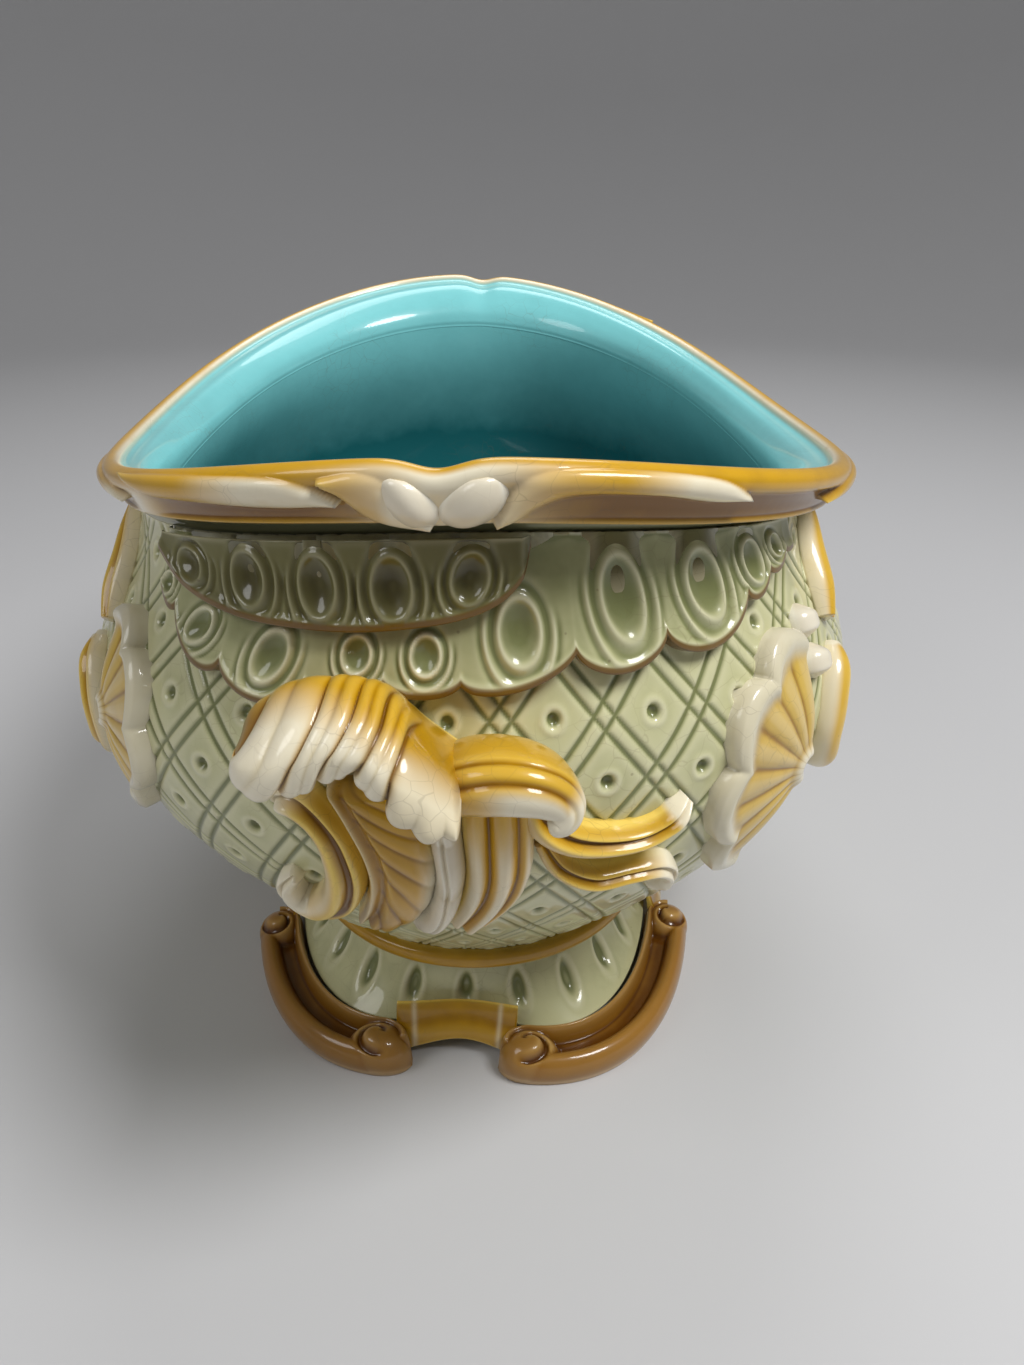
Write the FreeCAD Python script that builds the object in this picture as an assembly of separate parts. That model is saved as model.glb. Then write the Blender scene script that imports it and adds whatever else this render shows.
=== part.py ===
import FreeCAD, Part
import math
import os
from FreeCAD import Vector

# An oval majolica planter: a trellised bowl on a flared pedestal with four scroll feet,
# a wavy flaring lip, a collar and a scroll handle at each end, and rocaille sprigs on the long sides.
# +X is the near end, +Y the right side, +Z up; the origin is the middle of the standing plane.
# The ornament repeats when the planter is turned half a turn about Z.

# Bowl: half sizes of its oval rings, and the heights that they stand at
WAIST_HEIGHT = 38.0
RIM_HEIGHT = 185.0
RIM_WAVE = 13.0
WAIST_HALF_LENGTH = 94.0
WAIST_HALF_WIDTH = 60.0
BELLY_HALF_LENGTH = 149.0
BELLY_HALF_WIDTH = 113.0
NECK_HALF_LENGTH = 139.0
NECK_HALF_WIDTH = 94.0
WALL = 7.0
FLOOR = 9.0
BELLY_HEIGHT_SHARE = 0.62
OVAL_FULLNESS_SHARE = 0.035

# Lip: the flaring ring that stands on the neck
LIP_HALF_LENGTH = 155.0
LIP_HALF_WIDTH = 103.0
LIP_DEPTH = 14.0
LIP_DEPTH_WAVE = 3.0
LIP_ROLL = 7.0
LIP_SKEW_SHARE = 0.02

# Thin layer of slip that every applied piece is luted with
SLIP = 0.3
SEAM = 0.03

# Pedestal and band: an oval cavetto that spreads into four lobes
BAND_HEIGHT = 6.0
BAND_PROUD = 3.0
PEDESTAL_LIFT = 9.0
PEDESTAL_TUCK = 2.0
PEDESTAL_HALF_LENGTH = WAIST_HALF_LENGTH - PEDESTAL_TUCK
PEDESTAL_HALF_WIDTH = WAIST_HALF_WIDTH + PEDESTAL_TUCK
PEDESTAL_WALL = 8.0
LOBE_SHARE = 0.11
LOBE_SHIFT_SHARE = 0.2
LOBE_TURN = 7.0

# Feet and aprons under the pedestal's edge
FOOT_WIDTH = 17.0
FOOT_HEIGHT = 21.0
APRON_CLEAR = 2.0
APRON_LIFT = 4.0
APRON_HEIGHT = 17.0
APRON_THICKNESS = 6.0
FOOT_BUD_WIDTH = 6.0
FOOT_BUD_DEPTH = 7.0

# Collar tiers at each end
FLOUNCE_THICKNESS = 3.0
PANEL_THICKNESS = 2.6

# Handle: how far its pieces stand out from the belly, and how wide they are
LEAF_WIDTH = 13.0
LEAF_RELIEF = 32.0
LEAF_LEAN = 12.0
ROLL_WIDTH = 10.0
ROLL_RELIEF = 29.0
SCROLL_WIDTH = 5.0
SCROLL_RELIEF = 9.0
DROP_WIDTH = 9.5
DROP_RELIEF = 14.0
BUD_WIDTH = 3.9
BUD_RELIEF = 9.0
RIBS_WIDTH = 5.0
RIBS_RELIEF = 13.0
TENDRIL_WIDTH = 4.0
TENDRIL_RELIEF = 7.0

# Sprigs on the long sides
SHELL_RADIUS = 35.0
SMALL_SHELL_RADIUS = 27.0
SHELL_RELIEF = 5.0
MOULDING_WIDTH = 5.5
MOULDING_RELIEF = 6.0
PEARL_WIDTH = 5.5
PEARL_RELIEF = 5.0
PALMETTE_WIDTH = 15.0
PALMETTE_RELIEF = 5.0
CREST_BUD_WIDTH = 5.0
CREST_BUD_DEPTH = 5.0

HALF_RING_COUNT = 24
APRON_COUNT = 6
EDGE_COUNT = 2
SPRIG_COUNT = 3
NUDGE = 0.001
HALF_TURN = 180.0


# The oval rings that the bowl, lip and pedestal are drawn on

def oval(angle, half_length, half_width, height, skew_share=0.0, lobe_share=0.0):
    """Point of an oval ring with slightly full corners; angle in radians from +X."""
    bump = angle + LOBE_SHIFT_SHARE * math.sin(2 * angle) + math.radians(LOBE_TURN)
    grow = 1 + OVAL_FULLNESS_SHARE * (1 - math.cos(4 * angle)) / 2
    grow += skew_share * math.sin(2 * angle) + lobe_share * (1 - math.cos(4 * bump)) / 2
    return Vector(half_length * grow * math.cos(angle), half_width * grow * math.sin(angle), height)


def rim_height(angle):
    return RIM_HEIGHT + RIM_WAVE * math.cos(2 * angle)


def neck_height(angle):
    return rim_height(angle) - LIP_DEPTH - LIP_DEPTH_WAVE * math.cos(2 * angle)


def swell(share, waist, belly, neck):
    """Half size of the bowl at a share of the height from waist to neck."""
    if share < BELLY_HEIGHT_SHARE:
        return waist + (belly - waist) * math.sin(math.pi / 2 * share / BELLY_HEIGHT_SHARE)
    climb = (share - BELLY_HEIGHT_SHARE) / (1 - BELLY_HEIGHT_SHARE)
    return belly - (belly - neck) * (1 - math.cos(math.pi * climb)) / 2


def bowl_ring_point(angle, share, inset=0.0):
    half_length = swell(share, WAIST_HALF_LENGTH, BELLY_HALF_LENGTH, NECK_HALF_LENGTH) - inset
    half_width = swell(share, WAIST_HALF_WIDTH, BELLY_HALF_WIDTH, NECK_HALF_WIDTH) - inset
    height = WAIST_HEIGHT + share * (neck_height(angle) - WAIST_HEIGHT)
    return oval(angle, half_length, half_width, height)


def bowl_slopes(angle, share):
    along = bowl_ring_point(angle + NUDGE, share) - bowl_ring_point(angle - NUDGE, share)
    up = bowl_ring_point(angle, share + NUDGE) - bowl_ring_point(angle, share - NUDGE)
    return along.multiply(1 / (2 * NUDGE)), up.multiply(1 / (2 * NUDGE))


def on_bowl(angle, share, out=0.0):
    """Point on the outside of the bowl, moved outwards along the surface's normal."""
    along, up = bowl_slopes(angle, share)
    normal = along.cross(up).normalize()
    return bowl_ring_point(angle, share) + normal.multiply(out)


# Building blocks: half rings, skins and sewn solids

def half_ring(place, half):
    """Points of place(angle) along one half of a ring, the near end's or the far end's."""
    return [place(math.pi * (half + i / HALF_RING_COUNT)) for i in range(HALF_RING_COUNT + 1)]


def open_edge(points):
    curve = Part.BSplineCurve()
    curve.interpolate(points)
    return curve.toShape()


def sewn(faces):
    shell = Part.Shell(faces)
    shell.sewShape()
    solid = Part.Solid(shell)
    solid.fix(SEAM, SEAM, SLIP)
    if solid.Volume < 0:
        solid.reverse()
    return solid


def skin(places):
    """Smooth skin through rings, in two halves: its faces, and the edges of its first and last rings."""
    faces, firsts, lasts = [], [], []
    for half in (0, 1):
        rings = [half_ring(place, half) for place in places]
        surface = Part.BSplineSurface()
        surface.interpolate(rings)
        first, last = surface.bounds()[:2]
        faces.append(surface.toShape())
        firsts.append(surface.uIso(first).toShape())
        lasts.append(surface.uIso(last).toShape())
    return faces, firsts, lasts


def ring_edges(place):
    return [open_edge(half_ring(place, half)) for half in (0, 1)]


def ruled(first_edges, second_edges):
    return [Part.makeRuledSurface(a, b) for a, b in zip(first_edges, second_edges)]


def disc(edges):
    return Part.Face(Part.Wire(edges))


def turned(shape):
    """The same piece at the other end or side: half a turn about Z."""
    copy = shape.copy()
    copy.rotate(Vector(), Vector(0, 0, 1), HALF_TURN)
    return copy


def smooth_rows(rows, steps):
    """Rows of numbers joined by a smooth curve through them, steps to each gap."""
    curved = []
    last = len(rows) - 1
    for i in range(last):
        before, here = rows[max(i - 1, 0)], rows[i]
        there, after = rows[i + 1], rows[min(i + 2, last)]
        for step in range(steps):
            s = step / steps
            curved.append([
                0.5 * (2 * b + (c - a) * s + (2 * a - 5 * b + 4 * c - d) * s ** 2
                       + (3 * b - a - 3 * c + d) * s ** 3)
                for a, b, c, d in zip(before, here, there, after)
            ])
    curved.append(list(rows[last]))
    return curved


# Applied pieces: slabs between a face and a back, so that each back follows what carries it

def slab(front, back, flat_back=False):
    """Solid between two grids of points of the same size, rows by columns."""
    faces = []
    sides = []
    for grid in (front, back):
        surface = Part.BSplineSurface()
        surface.interpolate(grid)
        first_row, last_row, first_column, last_column = surface.bounds()
        faces.append(surface.toShape())
        sides.append([surface.uIso(first_row), surface.uIso(last_row),
                      surface.vIso(first_column), surface.vIso(last_column)])
    if flat_back:
        rim = Part.__sortEdges__([side.toShape() for side in sides[1]])
        faces[1] = Part.Face(Part.Wire(rim))
    for front_side, back_side in zip(*sides):
        faces.append(Part.makeRuledSurface(front_side.toShape(), back_side.toShape()))
    return sewn(faces)


SECTION_SHARES = (-1.0, -0.85, -0.5, 0.0, 0.5, 0.85, 1.0)
SECTION_EDGE_SHARE = 0.15


def in_plane(direction, along, up):
    """Steps in angle and share that move one unit along a direction of the surface."""
    aa, uu, au = along.dot(along), up.dot(up), along.dot(up)
    da, du = direction.dot(along), direction.dot(up)
    whole = aa * uu - au * au
    return (da * uu - du * au) / whole, (du * aa - da * au) / whole


def sprig(rows_shares, width, relief, lean=0.0):
    """Domed strip on the bowl along rows of (angle in degrees, height, width and relief shares)."""
    rows = smooth_rows(rows_shares, SPRIG_COUNT)
    front, back = [], []
    for i, (degrees, share, width_share, relief_share) in enumerate(rows):
        angle = math.radians(degrees)
        ahead, behind = rows[min(i + 1, len(rows) - 1)], rows[max(i - 1, 0)]
        travel = on_bowl(math.radians(ahead[0]), ahead[1]) - on_bowl(math.radians(behind[0]), behind[1])
        along, up = bowl_slopes(angle, share)
        aside = along.cross(up).cross(travel).normalize()
        step_angle, step_share = in_plane(aside, along, up)
        front.append([])
        back.append([])
        for q in SECTION_SHARES:
            reach = q * width * width_share
            place = (angle + step_angle * reach, share + step_share * reach)
            dome = SECTION_EDGE_SHARE + (1 - SECTION_EDGE_SHARE) * math.sqrt(1 - q * q)
            swollen = on_bowl(*place, SLIP + relief * relief_share * dome)
            front[-1].append(swollen + Vector(0, 0, lean * relief_share * dome))
            back[-1].append(on_bowl(*place, SLIP))
    return slab(front, back)


# Bowl, band and pedestal

BOWL_SHARES = (0.0, 0.06, 0.14, 0.24, 0.34, 0.45, 0.55, 0.65, 0.75, 0.85, 0.93, 1.0)


def bowl_floor_share():
    return FLOOR / (RIM_HEIGHT - LIP_DEPTH - WAIST_HEIGHT)


def make_bowl():
    low = bowl_floor_share()
    outer, foot, top = skin([lambda a, s=s: bowl_ring_point(a, s) for s in BOWL_SHARES])
    inner, floor, brim = skin([lambda a, s=low + (1 - low) * s: inner_point(a, s) for s in BOWL_SHARES])
    return sewn(outer + inner + ruled(top, brim) + [disc(foot), disc(floor)])


def inner_point(angle, share):
    point = bowl_ring_point(angle, share, WALL)
    low = bowl_floor_share()
    level = WAIST_HEIGHT + FLOOR
    point.z = level + (share - low) / (1 - low) * (neck_height(angle) - level)
    return point


BAND_SHARES = ((0.0, 0.0), (0.7, 0.2), (1.0, 0.5), (0.7, 0.8), (0.0, 1.0))


def band_point(angle, proud, rise_share):
    height = WAIST_HEIGHT - BAND_HEIGHT * (1 - rise_share)
    return oval(angle, WAIST_HALF_LENGTH + proud, WAIST_HALF_WIDTH + proud, height)


def make_band():
    outer, low, top = skin([lambda a, p=p, r=r: band_point(a, BAND_PROUD * p, r) for p, r in BAND_SHARES])
    bore_low, bore_top = [ring_edges(lambda a, r=r: band_point(a, -2 * PEDESTAL_WALL, r)) for r in (0.0, 1.0)]
    return sewn(outer + ruled(bore_low, bore_top) + ruled(low, bore_low) + ruled(top, bore_top))


PEDESTAL_SHARES = ((0.0, 1.0), (0.25, 0.62), (0.5, 0.32), (0.75, 0.12), (1.0, 0.0))


def pedestal_point(angle, rise_share, spread_share, inset=0.0):
    """Point of the pedestal's side: it spreads from an oval at the top to four lobes at the foot."""
    top = WAIST_HEIGHT - BAND_HEIGHT
    top_length, top_width = WAIST_HALF_LENGTH - PEDESTAL_WALL, WAIST_HALF_WIDTH - PEDESTAL_WALL
    half_length = top_length + (PEDESTAL_HALF_LENGTH - top_length) * spread_share - inset
    half_width = top_width + (PEDESTAL_HALF_WIDTH - top_width) * spread_share - inset
    height = PEDESTAL_LIFT + (top - PEDESTAL_LIFT) * rise_share
    return oval(angle, half_length, half_width, height, 0.0, LOBE_SHARE * spread_share)


def make_pedestal():
    outer, low, top = skin([lambda a, r=r, s=s: pedestal_point(a, r, s) for r, s in PEDESTAL_SHARES])
    inner, bore_low, bore_top = skin(
        [lambda a, r=r, s=s: pedestal_point(a, r, s, PEDESTAL_WALL) for r, s in PEDESTAL_SHARES])
    return sewn(outer + inner + ruled(low, bore_low) + ruled(top, bore_top))


# Lip and crest buds

def lip_point(angle, inset, height):
    return oval(angle, LIP_HALF_LENGTH - inset, LIP_HALF_WIDTH - inset, height, LIP_SKEW_SHARE)


def neck_point(angle, inset):
    return oval(angle, NECK_HALF_LENGTH - inset, NECK_HALF_WIDTH - inset, neck_height(angle) + SLIP)


LIP_LOW_SHARES = (0.6, 0.5)
LIP_FACE_SHARES = ((0.2, -0.8), (0.1, -0.25), (0.5, 0.0), (1.0, -0.3))


def make_lip():
    inset, rise = LIP_LOW_SHARES
    places = [lambda a: lip_point(a, LIP_ROLL * inset, neck_height(a) + LIP_ROLL * rise)]
    for inward, up in LIP_FACE_SHARES:
        places.append(lambda a, i=inward, u=up: lip_point(a, LIP_ROLL * i, rim_height(a) + LIP_ROLL * u))
    face, low, brim = skin(places)
    seat_out, seat_in = [ring_edges(lambda a, i=i: neck_point(a, i)) for i in (0.0, WALL)]
    return sewn(face + ruled(seat_out, low) + ruled(brim, seat_in) + ruled(seat_in, seat_out))


CREST_BUD_ANGLES = (-6.6, -0.6)
CREST_BUD_FALL_SHARES = (0.0, 0.2, 0.4, 0.6, 0.8, 1.0)
CREST_BUD_SWELL_SHARES = (0.4, 0.65, 0.85, 1.0, 0.9, 0.5)


def lip_face_point(angle, fall_share, out):
    """Point before the lip's outer face, from the roll at the top down to its lower edge."""
    (low_inset, low_rise), (top_inset, top_rise) = LIP_LOW_SHARES, LIP_FACE_SHARES[0]
    top, low = rim_height(angle) + LIP_ROLL * top_rise, neck_height(angle) + LIP_ROLL * low_rise
    inset = LIP_ROLL * (top_inset + (low_inset - top_inset) * fall_share)
    height = top + (low - top) * fall_share
    return lip_point(angle, inset - out, height)


def make_crest_bud(degrees):
    front, back = [], []
    turn = CREST_BUD_WIDTH / LIP_HALF_WIDTH
    for fall, swell_share in zip(CREST_BUD_FALL_SHARES, CREST_BUD_SWELL_SHARES):
        front.append([])
        back.append([])
        for q in SECTION_SHARES:
            angle = math.radians(degrees) + q * turn * swell_share
            dome = SECTION_EDGE_SHARE + (1 - SECTION_EDGE_SHARE) * math.sqrt(1 - q * q)
            front[-1].append(lip_face_point(angle, fall, 2 * SLIP + CREST_BUD_DEPTH * swell_share * dome))
            back[-1].append(lip_face_point(angle, fall, 2 * SLIP))
    return slab(front, back)


# Collar tiers at the near end

FLOUNCE_EDGE_SHARES = (
    (-42, 0.93), (-38, 0.86), (-33, 0.80), (-30, 0.81), (-24, 0.76), (-19, 0.78), (-14, 0.775), (-10, 0.79),
    (-6, 0.775), (-2, 0.79), (4, 0.765), (10, 0.83), (14.5, 0.80), (21, 0.85), (26, 0.81), (33, 0.885),
    (39, 0.91), (46, 0.93),
)
PANEL_EDGE_SHARES = (
    (-41, 0.955), (-35, 0.91), (-27, 0.88), (-18, 0.868), (-11, 0.868), (-3, 0.88), (2, 0.905), (5, 0.945),
)
COLLAR_TOP_SHARE = 0.985
COLLAR_ROW_SHARES = (0.0, 0.2, 0.6, 1.0)


def tier(edge_shares, base, thickness):
    """Tier of the collar between its lower edge and the lip, as thick as a rolled slab."""
    front, back = [], []
    for degrees, low in smooth_rows(edge_shares, EDGE_COUNT):
        angle = math.radians(degrees)
        heights = [low + (COLLAR_TOP_SHARE - low) * s for s in COLLAR_ROW_SHARES]
        front.append([on_bowl(angle, h, base + thickness) for h in heights])
        back.append([on_bowl(angle, h, base) for h in heights])
    return slab(front, back)


# Feet and aprons

def pedestal_edge(angle, out, height):
    edge = pedestal_point(angle, 0.0, 1.0)
    ahead, behind = pedestal_point(angle + NUDGE, 0.0, 1.0), pedestal_point(angle - NUDGE, 0.0, 1.0)
    normal = (ahead - behind).cross(Vector(0, 0, 1)).normalize()
    return Vector(edge.x, edge.y, height) + normal.multiply(out)


FOOT_SWELL_SHARES = (0.55, 0.95, 1.0, 0.88, 0.82, 0.8, 0.82, 0.88, 1.0, 0.95, 0.55)
FOOT_SIDE_SHARE = 0.4


def make_foot(first, last):
    """Scroll foot: a fat roll along one lobe of the pedestal, swelling at both ends, ground flat below."""
    front, back = [], []
    count = len(FOOT_SWELL_SHARES) - 1
    for i, swell_share in enumerate(FOOT_SWELL_SHARES):
        angle = math.radians(first + (last - first) * i / count)
        front.append([])
        back.append([])
        for q in SECTION_SHARES:
            out = SLIP + FOOT_WIDTH / 2 * (1 + q) * swell_share
            dome = FOOT_SIDE_SHARE + (1 - FOOT_SIDE_SHARE) * math.sqrt(1 - q * q)
            front[-1].append(pedestal_edge(angle, out, FOOT_HEIGHT * swell_share * dome))
            back[-1].append(pedestal_edge(angle, out, 0.0))
    return slab(front, back, True)


def make_apron(first, last):
    """Arched apron that fills the edge of the pedestal between two feet."""
    front, back = [], []
    for i in range(APRON_COUNT + 1):
        share = i / APRON_COUNT
        angle = math.radians(first + (last - first) * share)
        arch = APRON_CLEAR + APRON_LIFT * math.sin(math.pi * share)
        heights = (arch, (arch + APRON_HEIGHT) / 2, APRON_HEIGHT)
        front.append([pedestal_edge(angle, APRON_THICKNESS, h) for h in heights])
        back.append([pedestal_edge(angle, SLIP, h) for h in heights])
    return slab(front, back)


# Handle at the near end: rows of (angle, height share, width share, relief share)

HANDLE_SHARES = {
    "leaf": ((-1.2, 0.670, 0.75, 0.80), (-5.0, 0.672, 0.95, 1.00), (-10.0, 0.675, 1.00, 1.00),
             (-15.0, 0.668, 0.95, 0.95), (-19.0, 0.655, 0.75, 0.80), (-21.5, 0.640, 0.45, 0.50)),
    "roll": ((-0.4, 0.668, 0.75, 0.75), (2.0, 0.670, 0.95, 0.95), (4.5, 0.668, 1.00, 1.00),
             (7.0, 0.660, 0.85, 0.85), (8.8, 0.650, 0.45, 0.50)),
    "scroll": ((-20.5, 0.545, 0.60, 0.80), (-18.5, 0.545, 1.10, 1.00), (-16.2, 0.525, 0.90, 0.95),
               (-15.4, 0.485, 1.00, 0.90), (-16.2, 0.445, 1.00, 0.80), (-18.8, 0.420, 0.90, 0.75),
               (-21.0, 0.435, 0.60, 0.60)),
    "drop": ((-8.0, 0.565, 0.80, 0.90), (-8.0, 0.530, 0.95, 1.00), (-8.0, 0.470, 1.00, 0.90),
             (-7.8, 0.410, 0.90, 0.75), (-6.8, 0.355, 0.60, 0.55), (-6.4, 0.330, 0.25, 0.30)),
    "bud": ((-1.2, 0.565, 0.60, 0.80), (-1.2, 0.530, 0.90, 1.00), (-1.2, 0.470, 0.95, 0.90),
            (-1.4, 0.410, 1.00, 0.80), (-1.8, 0.355, 0.50, 0.40)),
    "ribs": ((3.4, 0.580, 0.75, 0.90), (3.4, 0.550, 0.95, 1.00), (3.2, 0.500, 1.00, 0.90),
             (2.8, 0.440, 0.75, 0.70), (2.0, 0.400, 0.30, 0.35)),
    "tendril": ((9.6, 0.605, 0.70, 0.90), (11.5, 0.588, 1.00, 1.00), (14.0, 0.578, 1.00, 0.90),
                (17.0, 0.577, 0.90, 0.85), (20.0, 0.592, 0.75, 0.80), (22.5, 0.622, 0.40, 0.50)),
    "hook": ((7.2, 0.545, 0.50, 0.60), (10.0, 0.528, 0.90, 0.90), (14.0, 0.512, 0.90, 0.90),
             (17.5, 0.505, 0.90, 0.90), (19.6, 0.480, 0.80, 0.90), (19.0, 0.445, 0.45, 0.50)),
}
HANDLE_SIZES = {
    "leaf": (LEAF_WIDTH, LEAF_RELIEF, LEAF_LEAN),
    "roll": (ROLL_WIDTH, ROLL_RELIEF, LEAF_LEAN),
    "scroll": (SCROLL_WIDTH, SCROLL_RELIEF),
    "drop": (DROP_WIDTH, DROP_RELIEF),
    "bud": (BUD_WIDTH, BUD_RELIEF),
    "ribs": (RIBS_WIDTH, RIBS_RELIEF),
    "tendril": (TENDRIL_WIDTH, TENDRIL_RELIEF),
    "hook": (TENDRIL_WIDTH, TENDRIL_RELIEF),
}


# Sprigs of the long sides

S_SCROLL_SHARES = (
    (63.0, 0.975, 0.60, 0.60), (60.5, 0.940, 0.85, 0.90), (57.5, 0.890, 1.00, 1.00), (55.0, 0.830, 0.90, 1.00),
    (53.0, 0.780, 0.60, 0.70),
)
C_SCROLL_SHARES = (
    (52.0, 0.730, 0.60, 0.60), (49.8, 0.700, 0.90, 1.00), (48.0, 0.650, 1.00, 1.00), (47.4, 0.590, 1.00, 1.00),
    (49.0, 0.530, 0.90, 1.00), (52.0, 0.500, 0.50, 0.60),
)
PALMETTE_SHARES = (
    (90.0, 0.800, 0.30, 0.50), (90.0, 0.750, 0.70, 1.00), (90.0, 0.660, 1.00, 1.00), (90.0, 0.540, 0.80, 0.90),
    (90.0, 0.420, 0.40, 0.70), (90.0, 0.370, 0.20, 0.40),
)
PEARL_SHARES = (
    (45.8, 0.836, 0.40, 0.50), (45.4, 0.815, 1.00, 1.00), (45.2, 0.795, 1.00, 1.00), (45.0, 0.776, 0.40, 0.50),
)
PEARL_STEP_SHARE = 0.07
SIDE_TURN = 4.0


def mirrored(rows_shares, turn=0.0):
    """The same rows on the other side of the near end, turned a little further back."""
    return tuple((-row[0] - turn,) + tuple(row[1:]) for row in rows_shares)


def lowered(rows_shares, fall_share):
    return tuple((row[0], row[1] - fall_share) + tuple(row[2:]) for row in rows_shares)


FAN_ROW_SHARES = (0.15, 0.4, 0.7, 1.0)
FAN_RISE_SHARES = (0.9, 0.6, 0.7, 1.0)
FAN_SCALLOP_SHARE = 0.1
FAN_LOBE_COUNT = 4
FAN_STEP_COUNT = 6


def fan(degrees, share, radius, first, last):
    """Fan shell on the bowl, opening from first to last degrees, with a scalloped rim."""
    angle = math.radians(degrees)
    along, up = bowl_slopes(angle, share)
    across, rise = Vector(along).normalize(), Vector(up).normalize()
    front, back = [], []
    steps = FAN_LOBE_COUNT * FAN_STEP_COUNT
    for i in range(steps + 1):
        opening = math.radians(first + (last - first) * i / steps)
        scallop = 1 - FAN_SCALLOP_SHARE * abs(math.cos(math.pi * i / FAN_STEP_COUNT)) ** 3
        step_angle, step_share = in_plane(across * math.cos(opening) + rise * math.sin(opening), along, up)
        lift = [SLIP + SHELL_RELIEF * s for s in FAN_RISE_SHARES]
        reach = [radius * scallop * s for s in FAN_ROW_SHARES]
        places = [(angle + step_angle * r, share + step_share * r) for r in reach]
        front.append([on_bowl(a, s, h) for (a, s), h in zip(places, lift)])
        back.append([on_bowl(a, s, SLIP) for a, s in places])
    return slab(front, back)


SHELL_PLACE = (41.0, 0.565)
SHELL_OPENING = (84.0, 246.0)
SMALL_SHELL_PLACE = (-51.0, 0.640)
SMALL_SHELL_OPENING = (96.0, -84.0)


def make_near_sides():
    """Sprigs on the near half of both long sides: the right side's, then the left side's."""
    right = {
        "s_scroll": sprig(S_SCROLL_SHARES, MOULDING_WIDTH, MOULDING_RELIEF),
        "c_scroll": sprig(C_SCROLL_SHARES, MOULDING_WIDTH, MOULDING_RELIEF),
        "upper_pearl": sprig(PEARL_SHARES, PEARL_WIDTH, PEARL_RELIEF),
        "lower_pearl": sprig(lowered(PEARL_SHARES, PEARL_STEP_SHARE), PEARL_WIDTH, PEARL_RELIEF),
        "shell": fan(*SHELL_PLACE, SHELL_RADIUS, *SHELL_OPENING),
    }
    left = {
        "s_scroll": sprig(mirrored(S_SCROLL_SHARES, SIDE_TURN), MOULDING_WIDTH, MOULDING_RELIEF),
        "c_scroll": sprig(mirrored(C_SCROLL_SHARES, SIDE_TURN * 2), MOULDING_WIDTH, MOULDING_RELIEF),
        "shell": fan(*SMALL_SHELL_PLACE, SMALL_SHELL_RADIUS, *SMALL_SHELL_OPENING),
    }
    return right, left


FOOT_BUD_PLACE = 74.0
FOOT_BUD_RISE_SHARES = (0.4, 0.52, 0.66, 0.8, 0.92)
FOOT_BUD_SWELL_SHARES = (0.35, 0.8, 1.0, 0.8, 0.35)


def on_pedestal(angle, rise_share, out):
    """Point of the pedestal's side, moved outwards; the spread between the drawn rings is a straight line."""
    for (low, wide), (high, narrow) in zip(PEDESTAL_SHARES, PEDESTAL_SHARES[1:]):
        if low <= rise_share <= high:
            spread = wide + (narrow - wide) * (rise_share - low) / (high - low)
            return pedestal_point(angle, rise_share, spread, -out)


def make_foot_bud():
    front, back = [], []
    turn = FOOT_BUD_WIDTH / PEDESTAL_HALF_LENGTH
    for rise, swell_share in zip(FOOT_BUD_RISE_SHARES, FOOT_BUD_SWELL_SHARES):
        front.append([])
        back.append([])
        for q in SECTION_SHARES:
            angle = math.radians(FOOT_BUD_PLACE) + q * turn * swell_share
            dome = SECTION_EDGE_SHARE + (1 - SECTION_EDGE_SHARE) * math.sqrt(1 - q * q)
            front[-1].append(on_pedestal(angle, rise, SLIP + FOOT_BUD_DEPTH * swell_share * dome))
            back[-1].append(on_pedestal(angle, rise, SLIP))
    return slab(front, back)


def save(name, shape):
    shape.exportStep("parts/" + name + ".step")
    print(name, "valid" if shape.isValid() else "NOT VALID", len(shape.Solids), round(shape.Volume))


def save_pair(name, turned_name, shape):
    save(name, shape)
    save(turned_name, turned(shape))


RIGHT_FOOT = (6.0, 66.0)
LEFT_FOOT = (-19.0, -68.0)

os.makedirs("parts", exist_ok=True)
save("bowl", make_bowl())
save("rim_lip", make_lip())
save("waist_band", make_band())
save("pedestal", make_pedestal())
for side, degrees in zip(("left", "right"), CREST_BUD_ANGLES):
    other = "right" if side == "left" else "left"
    save_pair("near_crest_bud_" + side, "far_crest_bud_" + other, make_crest_bud(degrees))
save_pair("near_flounce", "far_flounce", tier(FLOUNCE_EDGE_SHARES, SLIP, FLOUNCE_THICKNESS))
save_pair("near_panel", "far_panel", tier(PANEL_EDGE_SHARES, FLOUNCE_THICKNESS + 2 * SLIP, PANEL_THICKNESS))
save_pair("near_right_foot", "far_left_foot", make_foot(*RIGHT_FOOT))
save_pair("near_left_foot", "far_right_foot", make_foot(*LEFT_FOOT))
save_pair("near_apron", "far_apron", make_apron(LEFT_FOOT[0], RIGHT_FOOT[0]))
save_pair("right_apron", "left_apron", make_apron(RIGHT_FOOT[1], HALF_TURN + LEFT_FOOT[1]))
save_pair("right_foot_bud", "left_foot_bud", make_foot_bud())
for name, rows_shares in HANDLE_SHARES.items():
    save_pair("near_handle_" + name, "far_handle_" + name, sprig(rows_shares, *HANDLE_SIZES[name]))
right_sprigs, left_sprigs = make_near_sides()
for name, shape in right_sprigs.items():
    save_pair("right_near_" + name, "left_far_" + name, shape)
for name, shape in left_sprigs.items():
    save_pair("left_near_" + name, "right_far_" + name, shape)
save_pair("right_palmette", "left_palmette", sprig(PALMETTE_SHARES, PALMETTE_WIDTH, PALMETTE_RELIEF))
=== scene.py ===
import math
from math import pi
import bpy
import numpy as np
from mathutils import Matrix, Vector


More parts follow.
